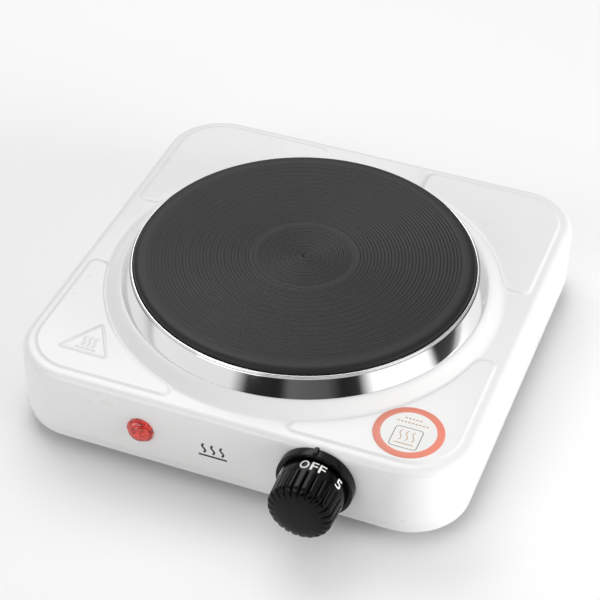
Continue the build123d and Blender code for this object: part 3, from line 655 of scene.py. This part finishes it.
# %% Spin a profile
def spin(profile, segments, centre=(0.0, 0.0), axis="z", closed=False):
    """Points and faces of a profile of (radius, height) turned about an axis.
    About z the height is z. About y the height is measured toward the front, and the
    centre is (x, z)."""
    profile = np.asarray(profile, float)
    angle = np.arange(segments) / segments * tau
    radius, height = profile[:, :1], np.broadcast_to(profile[:, 1:], (len(profile), segments))
    a, b = radius * np.cos(angle), radius * np.sin(angle)
    if axis == "z":
        points = np.stack([centre[0] + a, centre[1] + b, height], -1)
    else:
        points = np.stack([centre[0] + a, FRONT - height, centre[1] + b], -1)
    return points.reshape(-1, 3), grid_faces(len(profile), segments, close_rows=closed)


PLATE_R = PLATE_HIGH[0]
PLATE_TOP = PLATE_HIGH[2]
INNER_PITCH, OUTER_PITCH = 1.15, 1.57  # distance between two rings
INNER_DEPTH, OUTER_DEPTH = 0.14, 0.17
OUTER_FROM = 24.6  # radius where the wide rings start


def turned_top():
    """Height of the plate from the middle to its rim: rings whose depth is a raised
    cosine of the radius, set closer inside 22 mm than outside 25 mm. S-curves let the
    rings fade in and out, and a low step lifts the outer part."""
    radius = np.concatenate([np.linspace(1.9, 24, 150), np.linspace(24.2, 71.6, 236)])
    inner = (0.5 - 0.5 * np.cos(tau * radius / INNER_PITCH)) * s_curve(-radius, -22.5, -21.5)
    inner = inner * s_curve(radius, 2.0, 3.0)
    outer = (0.5 - 0.5 * np.cos(tau * (radius - OUTER_FROM) / OUTER_PITCH)) ** 2
    outer *= s_curve(radius, OUTER_FROM, 25.2) * s_curve(-radius, -71.4, -70.6)
    step = 0.12 * s_curve(radius, 23.2, 24.0)
    height = PLATE_TOP - 0.12 - INNER_DEPTH * inner - OUTER_DEPTH * outer + step - 0.1
    return np.column_stack([radius, height])


plate_profile = np.concatenate([
    [(0, PLATE_TOP - 0.75), (1.0, PLATE_TOP - 0.72), (1.5, PLATE_TOP - 0.35)],
    turned_top(),
    [(72.0, PLATE_TOP - 0.05), (72.6, PLATE_TOP), (74.1, PLATE_TOP)],
    [(74.8, PLATE_TOP - 0.04), (75.6, PLATE_TOP - 0.18), (76.4, PLATE_TOP - 0.5), (77.0, PLATE_TOP - 0.95)],
    [(77.35, PLATE_TOP - 1.4), (PLATE_R, PLATE_TOP - 2.0)],
    [(PLATE_R, 55.0), (PLATE_R, 51.9), (PLATE_R - 0.3, 51.6), (74.2, 51.6), (74, 51.4), (74, 47)],
    [(69, 47), (69, 52), (55, 52), (55, 47), (45, 47), (45, 52), (31, 52), (31, 47), (24, 47), (24, 51)],
    [(14, 51), (14, PLATE_LOW[2]), (3.05, PLATE_LOW[2]), (3.05, 53), (0, 53)],
])
print("plate profile", len(plate_profile), "points")

# %% [markdown]
# The iron has a thin dark protective coat. It is nearly black and rather dull, with a soft
# sheen from the tool marks, which run round the plate. Fine rings and a grain give the
# bump, and the colour is slightly greyer on patches where the coat is thin.

# %% Iron finish and plate
def ring_distance(owner, centre=(0, 0, 0)):
    """Nodes that give the distance from an upright axis, in metres."""
    place = node(owner, "ShaderNodeTexCoord")
    flat = node(owner, "ShaderNodeVectorMath", operation="MULTIPLY")
    shifted = node(owner, "ShaderNodeVectorMath", operation="SUBTRACT")
    shifted.inputs[1].default_value = [c * MM for c in centre]
    wire(owner, place.outputs["Object"], shifted.inputs[0])
    wire(owner, shifted.outputs[0], flat.inputs[0])
    flat.inputs[1].default_value = (1, 1, 0)
    far = node(owner, "ShaderNodeVectorMath", operation="LENGTH")
    wire(owner, flat.outputs[0], far.inputs[0])
    return far.outputs["Value"]


iron = finish("turned_iron", (0.008, 0.008, 0.0082), (0.014, 0.014, 0.0144), (0.38, 0.50), 30, 0.5, 0.25)
iron_shader = shader_of(iron)
iron_shader.inputs["Specular IOR Level"].default_value = 0.34
rings = node(iron, "ShaderNodeMath", operation="MULTIPLY")
rings.inputs[1].default_value = tau / (0.45 * MM)
wire(iron, ring_distance(iron), rings.inputs[0])
tool_marks = node(iron, "ShaderNodeMath", operation="SINE")
wire(iron, rings.outputs[0], tool_marks.inputs[0])
turned = node(iron, "ShaderNodeBump", {"Strength": 0.22, "Distance": 0.00005})
wire(iron, tool_marks.outputs[0], turned.inputs["Height"])
wire(iron, iron_shader.inputs["Normal"].links[0].from_socket, turned.inputs["Normal"])
wire(iron, turned.outputs[0], iron_shader.inputs["Normal"])

points, faces = spin(plate_profile, 224)
piece("iron_plate", points, faces, iron, replaces=["cooking_plate"], sharp=50)

# %% [markdown]
# ## The bright ring
# The ring is spun from thin stainless sheet over a form: a seat under the plate, a rolled
# bead round the plate's edge and a flared skirt that stands on the dome. Spinning polishes
# it, with faint marks round it. Its profile is a closed outline of the sheet with rounded
# bends, turned about the axis.

# %% Ring
def polished(name, color, rough, lines):
    """Bright metal: a finish whose fine noise is drawn out round the axis by rings of lines."""
    made = finish(name, tuple(0.93 * c for c in color), color, rough, 40, 3.0, 0.02, metal=1.0)
    shader = shader_of(made)
    place = node(made, "ShaderNodeTexCoord")
    streak = node(made, "ShaderNodeMapping", {"Scale": (18, 18, 900)})
    wire(made, place.outputs["Object"], streak.inputs["Vector"])
    strip = node(made, "ShaderNodeTexNoise", {"Scale": 1.0, "Detail": 4.0})
    wire(made, streak.outputs[0], strip.inputs["Vector"])
    relief = node(made, "ShaderNodeBump", {"Strength": lines, "Distance": 0.00004})
    wire(made, strip.outputs["Fac"], relief.inputs["Height"])
    wire(made, shader.inputs["Normal"].links[0].from_socket, relief.inputs["Normal"])
    wire(made, relief.outputs[0], shader.inputs["Normal"])
    return made


bright_steel = polished("bright_steel", (0.86, 0.86, 0.87), (0.06, 0.11), 0.12)
LIP = RING_HIGH[2]
FOOT = RING_LOW[2]
SEAT_IN, SEAT_LOW, SEAT_HIGH = 74.3, 51.12, 51.6  # seat under the plate's edge
BEAD, BEAD_AT = 0.5, 78.32  # radius of the rolled bead, and where its middle is
bead_turn = np.linspace(radians(-25), radians(180), 12)
bead_arc = [(BEAD_AT + BEAD * cos(a), LIP - BEAD + BEAD * sin(a)) for a in bead_turn]
under_side = [(SEAT_IN, 51.35), (SEAT_IN, SEAT_LOW), (78.25, SEAT_LOW), (78.25, LIP - 1.6)]
under_side += [(79.2, LIP - 1.9), (82.6, FOOT + 0.9), (83.0, FOOT), (83.6, FOOT)]
skirt = [(83.2, FOOT + 0.8), (79.35, LIP - 1.1), (78.95, LIP - 0.85)]
inner_wall = [(77.8, LIP - 1.2), (77.8, SEAT_HIGH), (SEAT_IN + 0.1, SEAT_HIGH)]
ring_profile = np.concatenate([
    smooth_path(under_side + skirt, radius=0.5, steps=6),
    bead_arc,
    smooth_path(inner_wall, radius=0.5, steps=6),
])
points, faces = spin(ring_profile, 320, closed=True)
piece("bright_ring", points, faces, bright_steel, replaces=["trim_ring"])

# %% [markdown]
# ## The knob
# The knob is moulded in black thermoset. Behind is a plain band for the marks, in front of
# it the grip: broad lobes with narrow grooves between them, which start at a step and run
# out over the rounded edge, so the domed face ends in a scalloped outline. The surface is
# a spun profile whose radius is taken in along the grooves.

# %% Knob
REACH = FRONT - KNOB_LOW[1]
KNOB_BACK = FRONT - KNOB_HIGH[1]
KNOB_R = (KNOB_HIGH[0] - KNOB_LOW[0]) / 2
FLUTES = 24
STEP_AT = 11  # in front of the wall, where the grip starts
EDGE_LENGTH = 4.6  # of the rounded edge and the domed face
TAPER = 0.45  # by which the grip narrows toward the face


def knob_surface(segments):
    """Grid round the knob. The profile runs from the back edge over the band and the grip
    to the face, whose edge is a superellipse: cosine and sine raised to a power below one.
    Between two lobes the radius is less by a depth that starts at a step 11 mm in front
    of the wall, grows toward the edge and dies out on the face. Across a lobe the depth
    is the sixth power of the distance from the lobe's middle, so lobes are broad and the
    grooves between them narrow."""
    start = REACH - EDGE_LENGTH
    turn = np.linspace(0, pi / 2, 44)[1:]
    face_r = (KNOB_R - TAPER) * np.cos(turn) ** 0.72
    face = np.column_stack([face_r, start + (REACH - start) * np.sin(turn) ** 0.80])
    face[-1, 0] = 0.0
    band = [(KNOB_R - 0.35, KNOB_BACK), (KNOB_R - 0.05, KNOB_BACK + 0.3)]
    band += [(KNOB_R, KNOB_BACK + 0.8), (KNOB_R, 10.4)]
    along = np.concatenate([np.linspace(10.7, 11.7, 9), np.linspace(12.1, start, 10)])
    grip = np.column_stack([np.interp(along, (10, start), (KNOB_R, KNOB_R - TAPER)), along])
    profile = np.concatenate([band, grip, face])
    radius, depth = profile.T
    cut = s_curve(depth, 10.8, 11.5) * np.interp(depth, (STEP_AT, start), (0.85, 1.5))
    cut = cut * s_curve(radius, 9.6, 12.6)
    angle = np.arange(segments) / segments * tau
    across = np.abs((angle * FLUTES / tau) % 1 - 0.5) * 2
    grid_r = radius[:, None] - cut[:, None] * (across**6 * 0.9 + 0.1 * across**2)[None, :]
    return grid_r, depth, angle


grid_r, depth, angle = knob_surface(480)
HOLLOW_R, HUB_R, BORE_R = 12.2, 5.6, 3.06
HOLLOW_END, BORE_END = REACH - 2.2, 15.5
inner_profile = np.array([
    (HOLLOW_R, KNOB_BACK), (HOLLOW_R, HOLLOW_END), (HUB_R, HOLLOW_END), (HUB_R, KNOB_BACK),
    (BORE_R, KNOB_BACK), (BORE_R, BORE_END), (0, BORE_END),
])
inner_r = np.broadcast_to(inner_profile[::-1, :1], (len(inner_profile), len(angle)))
all_r = np.concatenate([inner_r, grid_r])
all_d = np.concatenate([inner_profile[::-1, 1], depth])[:, None]
knob_y = np.broadcast_to(FRONT - all_d, all_r.shape)
knob_points = np.stack([KNOB_X + all_r * np.sin(angle), knob_y, KNOB_Z + all_r * np.cos(angle)], -1)
black_plastic = finish(
    "black_thermoset", (0.0012, 0.0012, 0.0012), (0.0028, 0.0028, 0.0028), (0.12, 0.20), 9, 0.6, 0.05
)
shader_of(black_plastic).inputs["Specular IOR Level"].default_value = 0.17
piece(
    "fluted_knob", knob_points.reshape(-1, 3), grid_faces(len(all_r), len(angle)),
    black_plastic, "knob_turning", replaces=["knob"], sharp=40,
)

# %% [markdown]
# ## The marks on the knob
# The marks are printed in white on the plain band: OFF at the top, then the heat steps from
# 5 down to 1, a sixth of a turn apart. They start as flat type. The type is sliced into
# narrow strips, so that it can bend, and its flat place (across, up) becomes (angle round
# the knob, distance toward the wall).

# %% Marks
white_ink = finish("white_ink", (0.80, 0.80, 0.78), (0.88, 0.88, 0.86), (0.45, 0.60), 2.5, 0.4, 0.1)


def flat_type(word, cap_height, width):
    """Word as a thin mesh centred on the origin, scaled to a cap height and a width."""
    data = bpy.data.curves.new("type", "FONT")
    data.body = word
    data.align_x = "CENTER"
    data.size = 1.0
    data.extrude = 0.01
    data.offset = 0.008
    letters = bpy.data.objects.new("type", data)
    scene.collection.objects.link(letters)
    view = bpy.context.evaluated_depsgraph_get()
    mesh = bpy.data.meshes.new_from_object(letters.evaluated_get(view))
    bpy.data.objects.remove(letters, do_unlink=True)
    work = bmesh.new()
    work.from_mesh(mesh)
    bpy.data.meshes.remove(mesh)
    for x in np.arange(-1.5, 1.5, 0.07):
        everything = work.verts[:] + work.edges[:] + work.faces[:]
        bmesh.ops.bisect_plane(work, geom=everything, plane_co=(x, 0, 0), plane_no=(1, 0, 0))
    bmesh.ops.triangulate(work, faces=work.faces)
    points = np.array([v.co[:] for v in work.verts])
    faces = np.array([[v.index for v in f.verts] for f in work.faces])
    work.free()
    low, high = points.min(0), points.max(0)
    scale = np.array([width, cap_height, 1]) / (high - low)
    return (points - (low + high) / 2) * scale, faces


MARK_AT = 7.9  # in front of the wall
CAP_HEIGHT = 4.5
FIRST_MARK = 4.0
STEP_ANGLE = 60
# each mark: character, degrees round the knob from the top, width
marks = [("O", FIRST_MARK - 15.2, 3.9), ("F", FIRST_MARK + 1.6, 2.9), ("F", FIRST_MARK + 15.6, 2.9)]
digit_widths = (3.2, 3.4, 3.2, 3.2, 2.0)
for step, (digit, width) in enumerate(zip("54321", digit_widths)):
    marks.append((digit, 55 + STEP_ANGLE * step, width))
marks_parts = []
for word, degrees, width in marks:
    flat, type_faces = flat_type(word, CAP_HEIGHT, width)
    round_angle = radians(degrees) + flat[:, 0] / KNOB_R
    radius = KNOB_R + 0.02 + 0.05 * np.sign(flat[:, 2])
    bent = np.column_stack([
        KNOB_X + radius * np.sin(round_angle),
        FRONT - (MARK_AT - flat[:, 1]),
        KNOB_Z + radius * np.cos(round_angle),
    ])
    marks_parts.append((bent, type_faces))
points, faces = together(marks_parts)
piece("knob_marks", points, faces, white_ink, "knob_turning", smooth=False)

# %% [markdown]
# ## The ring behind the knob
# A separate black moulding hides the spindle's hole and its screws. It is a shallow cup
# with rounded edges, and a small rib on top points at the chosen mark. The cup is a spun
# profile, and the rib is a rounded bar whose section is a soft square.

# %% Knob ring and pointer
BEZEL_LOW, BEZEL_HIGH = cad("knob_bezel")
BEZEL_R = (BEZEL_HIGH[0] - BEZEL_LOW[0]) / 2
BEZEL_OUT = FRONT - BEZEL_LOW[1]
cup = smooth_path([
    (4.0, 0.02), (BEZEL_R, 0.02), (BEZEL_R - 0.1, BEZEL_OUT), (14.9, BEZEL_OUT),
    (14.3, BEZEL_OUT - 1.4), (14.3, 1.2), (4.0, 1.2),
], closed=True, radius=0.55, steps=6)
points, faces = spin(cup, 160, centre=(KNOB_X, KNOB_Z), axis="y", closed=True)


def soft_bar(centre, size, power=5.0, rows=24, columns=32):
    """Rounded bar: a sphere whose sines and cosines are raised to a small power, so that
    it fills its box with soft edges."""
    def pull(value):
        return np.sign(value) * np.abs(value) ** (2 / power)
    v = np.linspace(-pi / 2, pi / 2, rows)[:, None]
    u = (np.arange(columns) / columns * tau)[None, :]
    level = pull(np.cos(v))
    shape = np.stack([level * pull(np.cos(u)), level * pull(np.sin(u)), pull(np.sin(v)) + 0 * u], -1)
    points = np.asarray(centre) + shape * np.asarray(size) / 2
    return points.reshape(-1, 3), grid_faces(rows, columns)


rib_size = (2.1, BEZEL_OUT - 0.05, 2.6)
rib = soft_bar((KNOB_X, FRONT - BEZEL_OUT / 2, KNOB_Z + BEZEL_R + 0.05), rib_size)
bezel_plastic = finish(
    "black_ring_plastic", (0.003, 0.003, 0.003), (0.006, 0.006, 0.006), (0.18, 0.28), 8, 0.5, 0.08
)
shader_of(bezel_plastic).inputs["Specular IOR Level"].default_value = 0.22
points, faces = together([(points, faces), rib])
piece("knob_ring", points, faces, bezel_plastic, replaces=["knob_bezel"], sharp=50)

# %% [markdown]
# ## The pilot lamp
# The lens is clear red plastic, cut inside into facets, so that it glitters from any side.
# The dome is built as rings of flat facets, each ring turned by half a facet from the last,
# and is shaded flat. A low flange sits round it on the wall. Small cells of darker and
# lighter red are painted light and shade: they stand for the glints and dark spots of the facets inside.

# %% Lamp
red_lens = bpy.data.materials.new("red_lens")
red_lens.use_nodes = True
lens_shader = shader_of(red_lens)
lens_shader.inputs["Roughness"].default_value = 0.12
lens_shader.inputs["Coat Weight"].default_value = 0.6
lens_shader.inputs["Coat Roughness"].default_value = 0.04
lens_place = node(red_lens, "ShaderNodeTexCoord")
# painted glints and shade: cells of lighter and darker red in the lens's base colour stand for the light
# thrown by the facets inside
lens_painted_glint_cells = node(red_lens, "ShaderNodeTexVoronoi", {"Scale": 720.0, "Randomness": 0.7})
wire(red_lens, lens_place.outputs["Object"], lens_painted_glint_cells.inputs["Vector"])
lens_painted_glint_tone = node(red_lens, "ShaderNodeMix", data_type="RGBA")
lens_painted_glint_tone.inputs["A"].default_value = (0.30, 0.008, 0.005, 1)
lens_painted_glint_tone.inputs["B"].default_value = (0.86, 0.05, 0.03, 1)
lens_grey = node(red_lens, "ShaderNodeSeparateColor")
wire(red_lens, lens_painted_glint_cells.outputs["Color"], lens_grey.inputs[0])
wire(red_lens, lens_grey.outputs[0], lens_painted_glint_tone.inputs["Factor"])
wire(red_lens, lens_painted_glint_tone.outputs["Result"], lens_shader.inputs["Base Color"])

LAMP_R = (LAMP_HIGH[0] - LAMP_LOW[0]) / 2
LAMP_OUT = FRONT - LAMP_LOW[1]


def faceted_dome(rows=6, facets=14):
    """Dome in rings of points, each ring turned by half a facet; the radius shrinks by a
    cosine and the height grows by a sine. Behind it are a flange and a sleeve."""
    rise = np.linspace(0, pi / 2, rows)[:-1]
    ring_r = np.concatenate([[4.9, 4.9, LAMP_R, LAMP_R], (LAMP_R - 0.7) * np.cos(rise)])
    ring_d = np.concatenate([[-6.0, 0.0, 0.0, 0.9], 1.0 + (LAMP_OUT - 1.0) * np.sin(rise)])
    shift = np.concatenate([np.zeros(4), np.arange(rows - 1) * 0.5])
    angle = (np.arange(facets)[None, :] + shift[:, None]) / facets * tau
    x = LAMP_X + ring_r[:, None] * np.cos(angle)
    z = LAMP_Z + ring_r[:, None] * np.sin(angle)
    y = np.broadcast_to(FRONT - ring_d[:, None], x.shape)
    points = np.stack([x, y, z], -1).reshape(-1, 3)
    quads = grid_faces(len(ring_r), facets)
    tris = np.concatenate([quads[:, [0, 1, 2]], quads[:, [0, 2, 3]]])
    tip = np.array([[LAMP_X, FRONT - LAMP_OUT, LAMP_Z], [LAMP_X, FRONT + 6.0, LAMP_Z]])
    ring = np.arange(facets)
    start = (len(ring_r) - 1) * facets
    fan = np.stack([start + ring, start + np.roll(ring, -1), np.full(facets, len(points))], 1)
    back = np.stack([ring, np.roll(ring, -1), np.full(facets, len(points) + 1)], 1)
    return np.concatenate([points, tip]), np.concatenate([tris, fan, back])


points, faces = faceted_dome()
piece("lamp_dome", points, faces, red_lens, replaces=["lamp_lens"], smooth=False)

# %% [markdown]
# ## The label and the front print
# A thin film disc lies on the front-right field: an orange-red ring on white, with a line
# drawing inside. The ring is painted by distance from the label's middle. The drawing is
# made of flat strokes laid on the film, with two rows of plain dashes where a label has its
# lettering.

# %% Label
LABEL_AT = (LABEL_LOW + LABEL_HIGH)[:2] / 2
LABEL_R = (LABEL_HIGH[0] - LABEL_LOW[0]) / 2
film = finish("label_film", (0.82, 0.82, 0.80), (0.86, 0.86, 0.84), (0.35, 0.5), 6, 0.8, 0.05)
film_shader = shader_of(film)
far = ring_distance(film, (*LABEL_AT, 0))
BORDER_FROM, BORDER_FULL = 11.85, 12.0
border = node(film, "ShaderNodeMapRange", {"From Min": BORDER_FROM * MM, "From Max": BORDER_FULL * MM})
wire(film, far, border.inputs["Value"])
inked = node(film, "ShaderNodeMix", data_type="RGBA")
ORANGE_RED = (0.80, 0.25, 0.175, 1)
inked.inputs["B"].default_value = ORANGE_RED
wire(film, border.outputs[0], inked.inputs["Factor"])
wire(film, film_shader.inputs["Base Color"].links[0].from_socket, inked.inputs["A"])
wire(film, inked.outputs["Result"], film_shader.inputs["Base Color"])

label_low, label_top = LABEL_LOW[2] + 0.01, LABEL_HIGH[2]
label_profile = [
    (0, label_low), (LABEL_R, label_low), (LABEL_R, label_top - 0.06), (LABEL_R - 0.08, label_top),
    (11.0, label_top), (0, label_top),
]
points, faces = spin(label_profile, 128, centre=LABEL_AT)
piece("film_label", points, faces, film, replaces=["caution_label"], sharp=40)


def stroke(path, width, closed=False):
    """Flat printed line along a path: a ridge with next to no rise."""
    return ridge(path, width, 0.03, sink=0.02, closed=closed, across=5)


FRAME_HALF = 6.0
FRAME_AT = LABEL_AT + (0.0, -3.6)
frame_corners = FRAME_AT + FRAME_HALF * np.array([(-1, -1), (1, -1), (1, 1), (-1, 1)])
outline = stroke(smooth_path(frame_corners, closed=True, radius=1.8, steps=8), 0.34, closed=True)
drawing = []
for across in (-2.8, 0, 2.8):
    waved = wave(FRAME_AT[0] + across, FRAME_AT[1] - 1.9, FRAME_AT[1] + 4.2, 0.6)
    drawing.append(stroke(waved, 0.42))
drawing.append(stroke(np.linspace(FRAME_AT + (-4.2, -3.6), FRAME_AT + (4.2, -3.6), 6), 0.5))
DASH_HALF, DASH_PITCH, DASH_WIDTH = 0.5, 1.6, 0.7
for row, reach in ((5.8, 3.6), (3.3, 6.4)):
    for x in np.arange(-reach, reach + 0.1, DASH_PITCH):
        dash = np.linspace((x - DASH_HALF, row), (x + DASH_HALF, row), 3)
        drawing.append(stroke(dash + LABEL_AT + (0, 2.2), DASH_WIDTH))
tan_ink = finish("tan_ink", (0.50, 0.31, 0.17), (0.62, 0.40, 0.22), (0.5, 0.6), 3, 0.5, 0.05)
grey_ink = finish("grey_ink", (0.16, 0.12, 0.11), (0.22, 0.17, 0.15), (0.5, 0.6), 3, 0.5, 0.05)
for name, (points, faces), ink in (
    ("label_drawing", together(drawing), tan_ink),
    ("label_frame", outline, grey_ink),
):
    piece(name, points + (0, 0, LABEL_HIGH[2]), faces, ink, smooth=False)

# %% [markdown]
# The print on the front wall is a plain heat mark in black: three waves over a bar. It is
# drawn flat like the label's strokes, then stood up, so that its height becomes a distance
# in front of the wall.

# %% Front print
black_ink = finish("black_ink", (0.010, 0.010, 0.010), (0.016, 0.016, 0.016), (0.45, 0.55), 3, 0.5, 0.05)
PRINT_AT = (-3.6, 24.0)
PRINT_LINE = 1.0
print_lines = []
for across in (-4.2, 0, 4.2):
    waved = wave(PRINT_AT[0] + across, PRINT_AT[1] - 1.6, PRINT_AT[1] + 3.4, 0.7)
    print_lines.append(stroke(waved, PRINT_LINE))
bar_z = PRINT_AT[1] - 3.2
bar = np.linspace((PRINT_AT[0] - 6.6, bar_z), (PRINT_AT[0] + 6.6, bar_z), 6)
print_lines.append(stroke(bar, PRINT_LINE))
points, faces = together(print_lines)
points = np.column_stack([points[:, 0], FRONT - points[:, 2], points[:, 1]])
piece("front_print", points, faces, black_ink, smooth=False)

# %% [markdown]
# ## Rubber: the bush and the feet
# The lead's bush in the rear wall has a flange and a tapered collar with ribs, and each foot
# is a low cup with a rounded tread and a waist. Both are turned shapes, so both are spun
# profiles with rounded corners.

# %% Bush and feet
rubber = finish("black_rubber", (0.016, 0.016, 0.016), (0.030, 0.030, 0.029), (0.55, 0.75), 7, 0.4, 0.3)
OUT = FRONT - REAR  # the rear wall's outside, as a distance toward the front
LEAD_BORE = 3.6
bush_end = FRONT - GLAND_HIGH[1]
bush_profile = smooth_path([
    (LEAD_BORE, OUT + 5.8), (6.0, OUT + 5.8), (7.2, OUT + 1.1), (7.2, OUT + 0.85), (5.95, OUT + 0.8),
    (5.95, OUT), (8.5, OUT - 0.02), (8.5, OUT - 2.5), (7.3, OUT - 3.0), (7.3, OUT - 4.4), (6.7, OUT - 4.7),
    (6.9, OUT - 5.0), (6.9, OUT - 6.2), (6.3, OUT - 6.5), (6.5, OUT - 6.8), (6.5, OUT - 8.0),
    (5.9, OUT - 8.3), (5.8, bush_end), (LEAD_BORE, bush_end),
], closed=True, radius=0.35, steps=4)
points, faces = spin(bush_profile, 96, centre=(GLAND_X, GLAND_Z), axis="y", closed=True)
piece("rubber_bush", points, faces, rubber, replaces=["cord_gland"])

for corner in ("front_left", "front_right", "rear_left", "rear_right"):
    low, high = cad(f"foot_{corner}")
    foot_profile = smooth_path([
        (2.2, 4.0), (4.6, 4.0), (4.6, 0.3), (5.0, 0.0), (7.6, 0.0), (8.3, 0.8), (8.3, 2.2), (7.9, 2.8),
        (8.4, 3.6), (9.4, high[2]), (2.2, high[2]),
    ], closed=True, radius=0.5, steps=5)
    points, faces = spin(foot_profile, 72, centre=(low + high)[:2] / 2, closed=True)
    piece(f"rubber_foot_{corner}", points, faces, rubber, replaces=[f"foot_{corner}"])

# %% [markdown]
# ## The remaining parts
# The base tray, the screws and everything under the plate keep their CAD shapes and only
# need their metals, ceramics and plastics.

# %% Finishes of the CAD parts
zinc = finish("zinc_plate", (0.52, 0.53, 0.55), (0.68, 0.69, 0.70), (0.28, 0.42), 5, 0.5, 0.12, metal=1.0)
galvanised = finish(
    "galvanised_sheet", (0.42, 0.43, 0.44), (0.62, 0.63, 0.64), (0.34, 0.50), 12, 0.8, 0.12, metal=1.0
)
brass = finish("brass", (0.62, 0.44, 0.17), (0.78, 0.58, 0.26), (0.22, 0.38), 6, 0.6, 0.1, metal=1.0)
spring = finish("spring_steel", (0.22, 0.22, 0.23), (0.34, 0.34, 0.35), (0.3, 0.42), 4, 0.5, 0.1, metal=1.0)
coil_metal = finish(
    "heated_alloy", (0.12, 0.10, 0.09), (0.24, 0.21, 0.19), (0.45, 0.6), 4, 0.5, 0.2, metal=1.0
)
cover_sheet = finish(
    "aluminised_sheet", (0.40, 0.40, 0.40), (0.55, 0.55, 0.54), (0.4, 0.55), 10, 0.7, 0.15, metal=1.0
)
ceramic = finish("steatite", (0.62, 0.59, 0.52), (0.74, 0.71, 0.64), (0.55, 0.7), 6, 0.5, 0.2)
cement = finish("coil_cement", (0.42, 0.40, 0.35), (0.56, 0.54, 0.48), (0.8, 0.9), 5, 0.7, 0.5)
nylon = finish("nylon", (0.62, 0.61, 0.56), (0.70, 0.69, 0.64), (0.4, 0.5), 8, 0.6, 0.1)
bulb_glass = finish("bulb_glass", (0.80, 0.55, 0.42), (0.90, 0.66, 0.52), (0.05, 0.1), 4, 0.8, 0.02)


def insulation(name, color):
    """Silicone sleeve of a lead in one colour."""
    return finish(name, tuple(0.85 * c for c in color), color, (0.45, 0.55), 6, 0.5, 0.08)


slots = {
    "base_steel": galvanised, "zinc_steel": zinc, "bimetal": spring, "cement": cement,
    "contact_brass": brass,
    "spring_steel": spring, "brass": brass, "coil_alloy": coil_metal, "lamp_plastic": nylon,
    "lead_white": insulation("white_sleeve", (0.74, 0.73, 0.70)),
    "lead_green": insulation("green_sleeve", (0.16, 0.36, 0.05)),
    "lead_brown": insulation("brown_sleeve", (0.10, 0.035, 0.015)),
    "lead_blue": insulation("blue_sleeve", (0.02, 0.07, 0.30)),
    "bulb_glass": bulb_glass, "cover_steel": cover_sheet, "ceramic": ceramic, "block_plastic": nylon,
    "cutout_case": brass,
}
slot_of = {part["node"]: part["material_slot"] for part in frame["record"]["subparts"]}
repainted = 0
for name, obj in frame["nodes"].items():
    if slot_of[name] in slots:
        for place in obj.material_slots:
            place.material = slots[slot_of[name]]
        repainted += 1
print("CAD parts given a finish:", repainted)
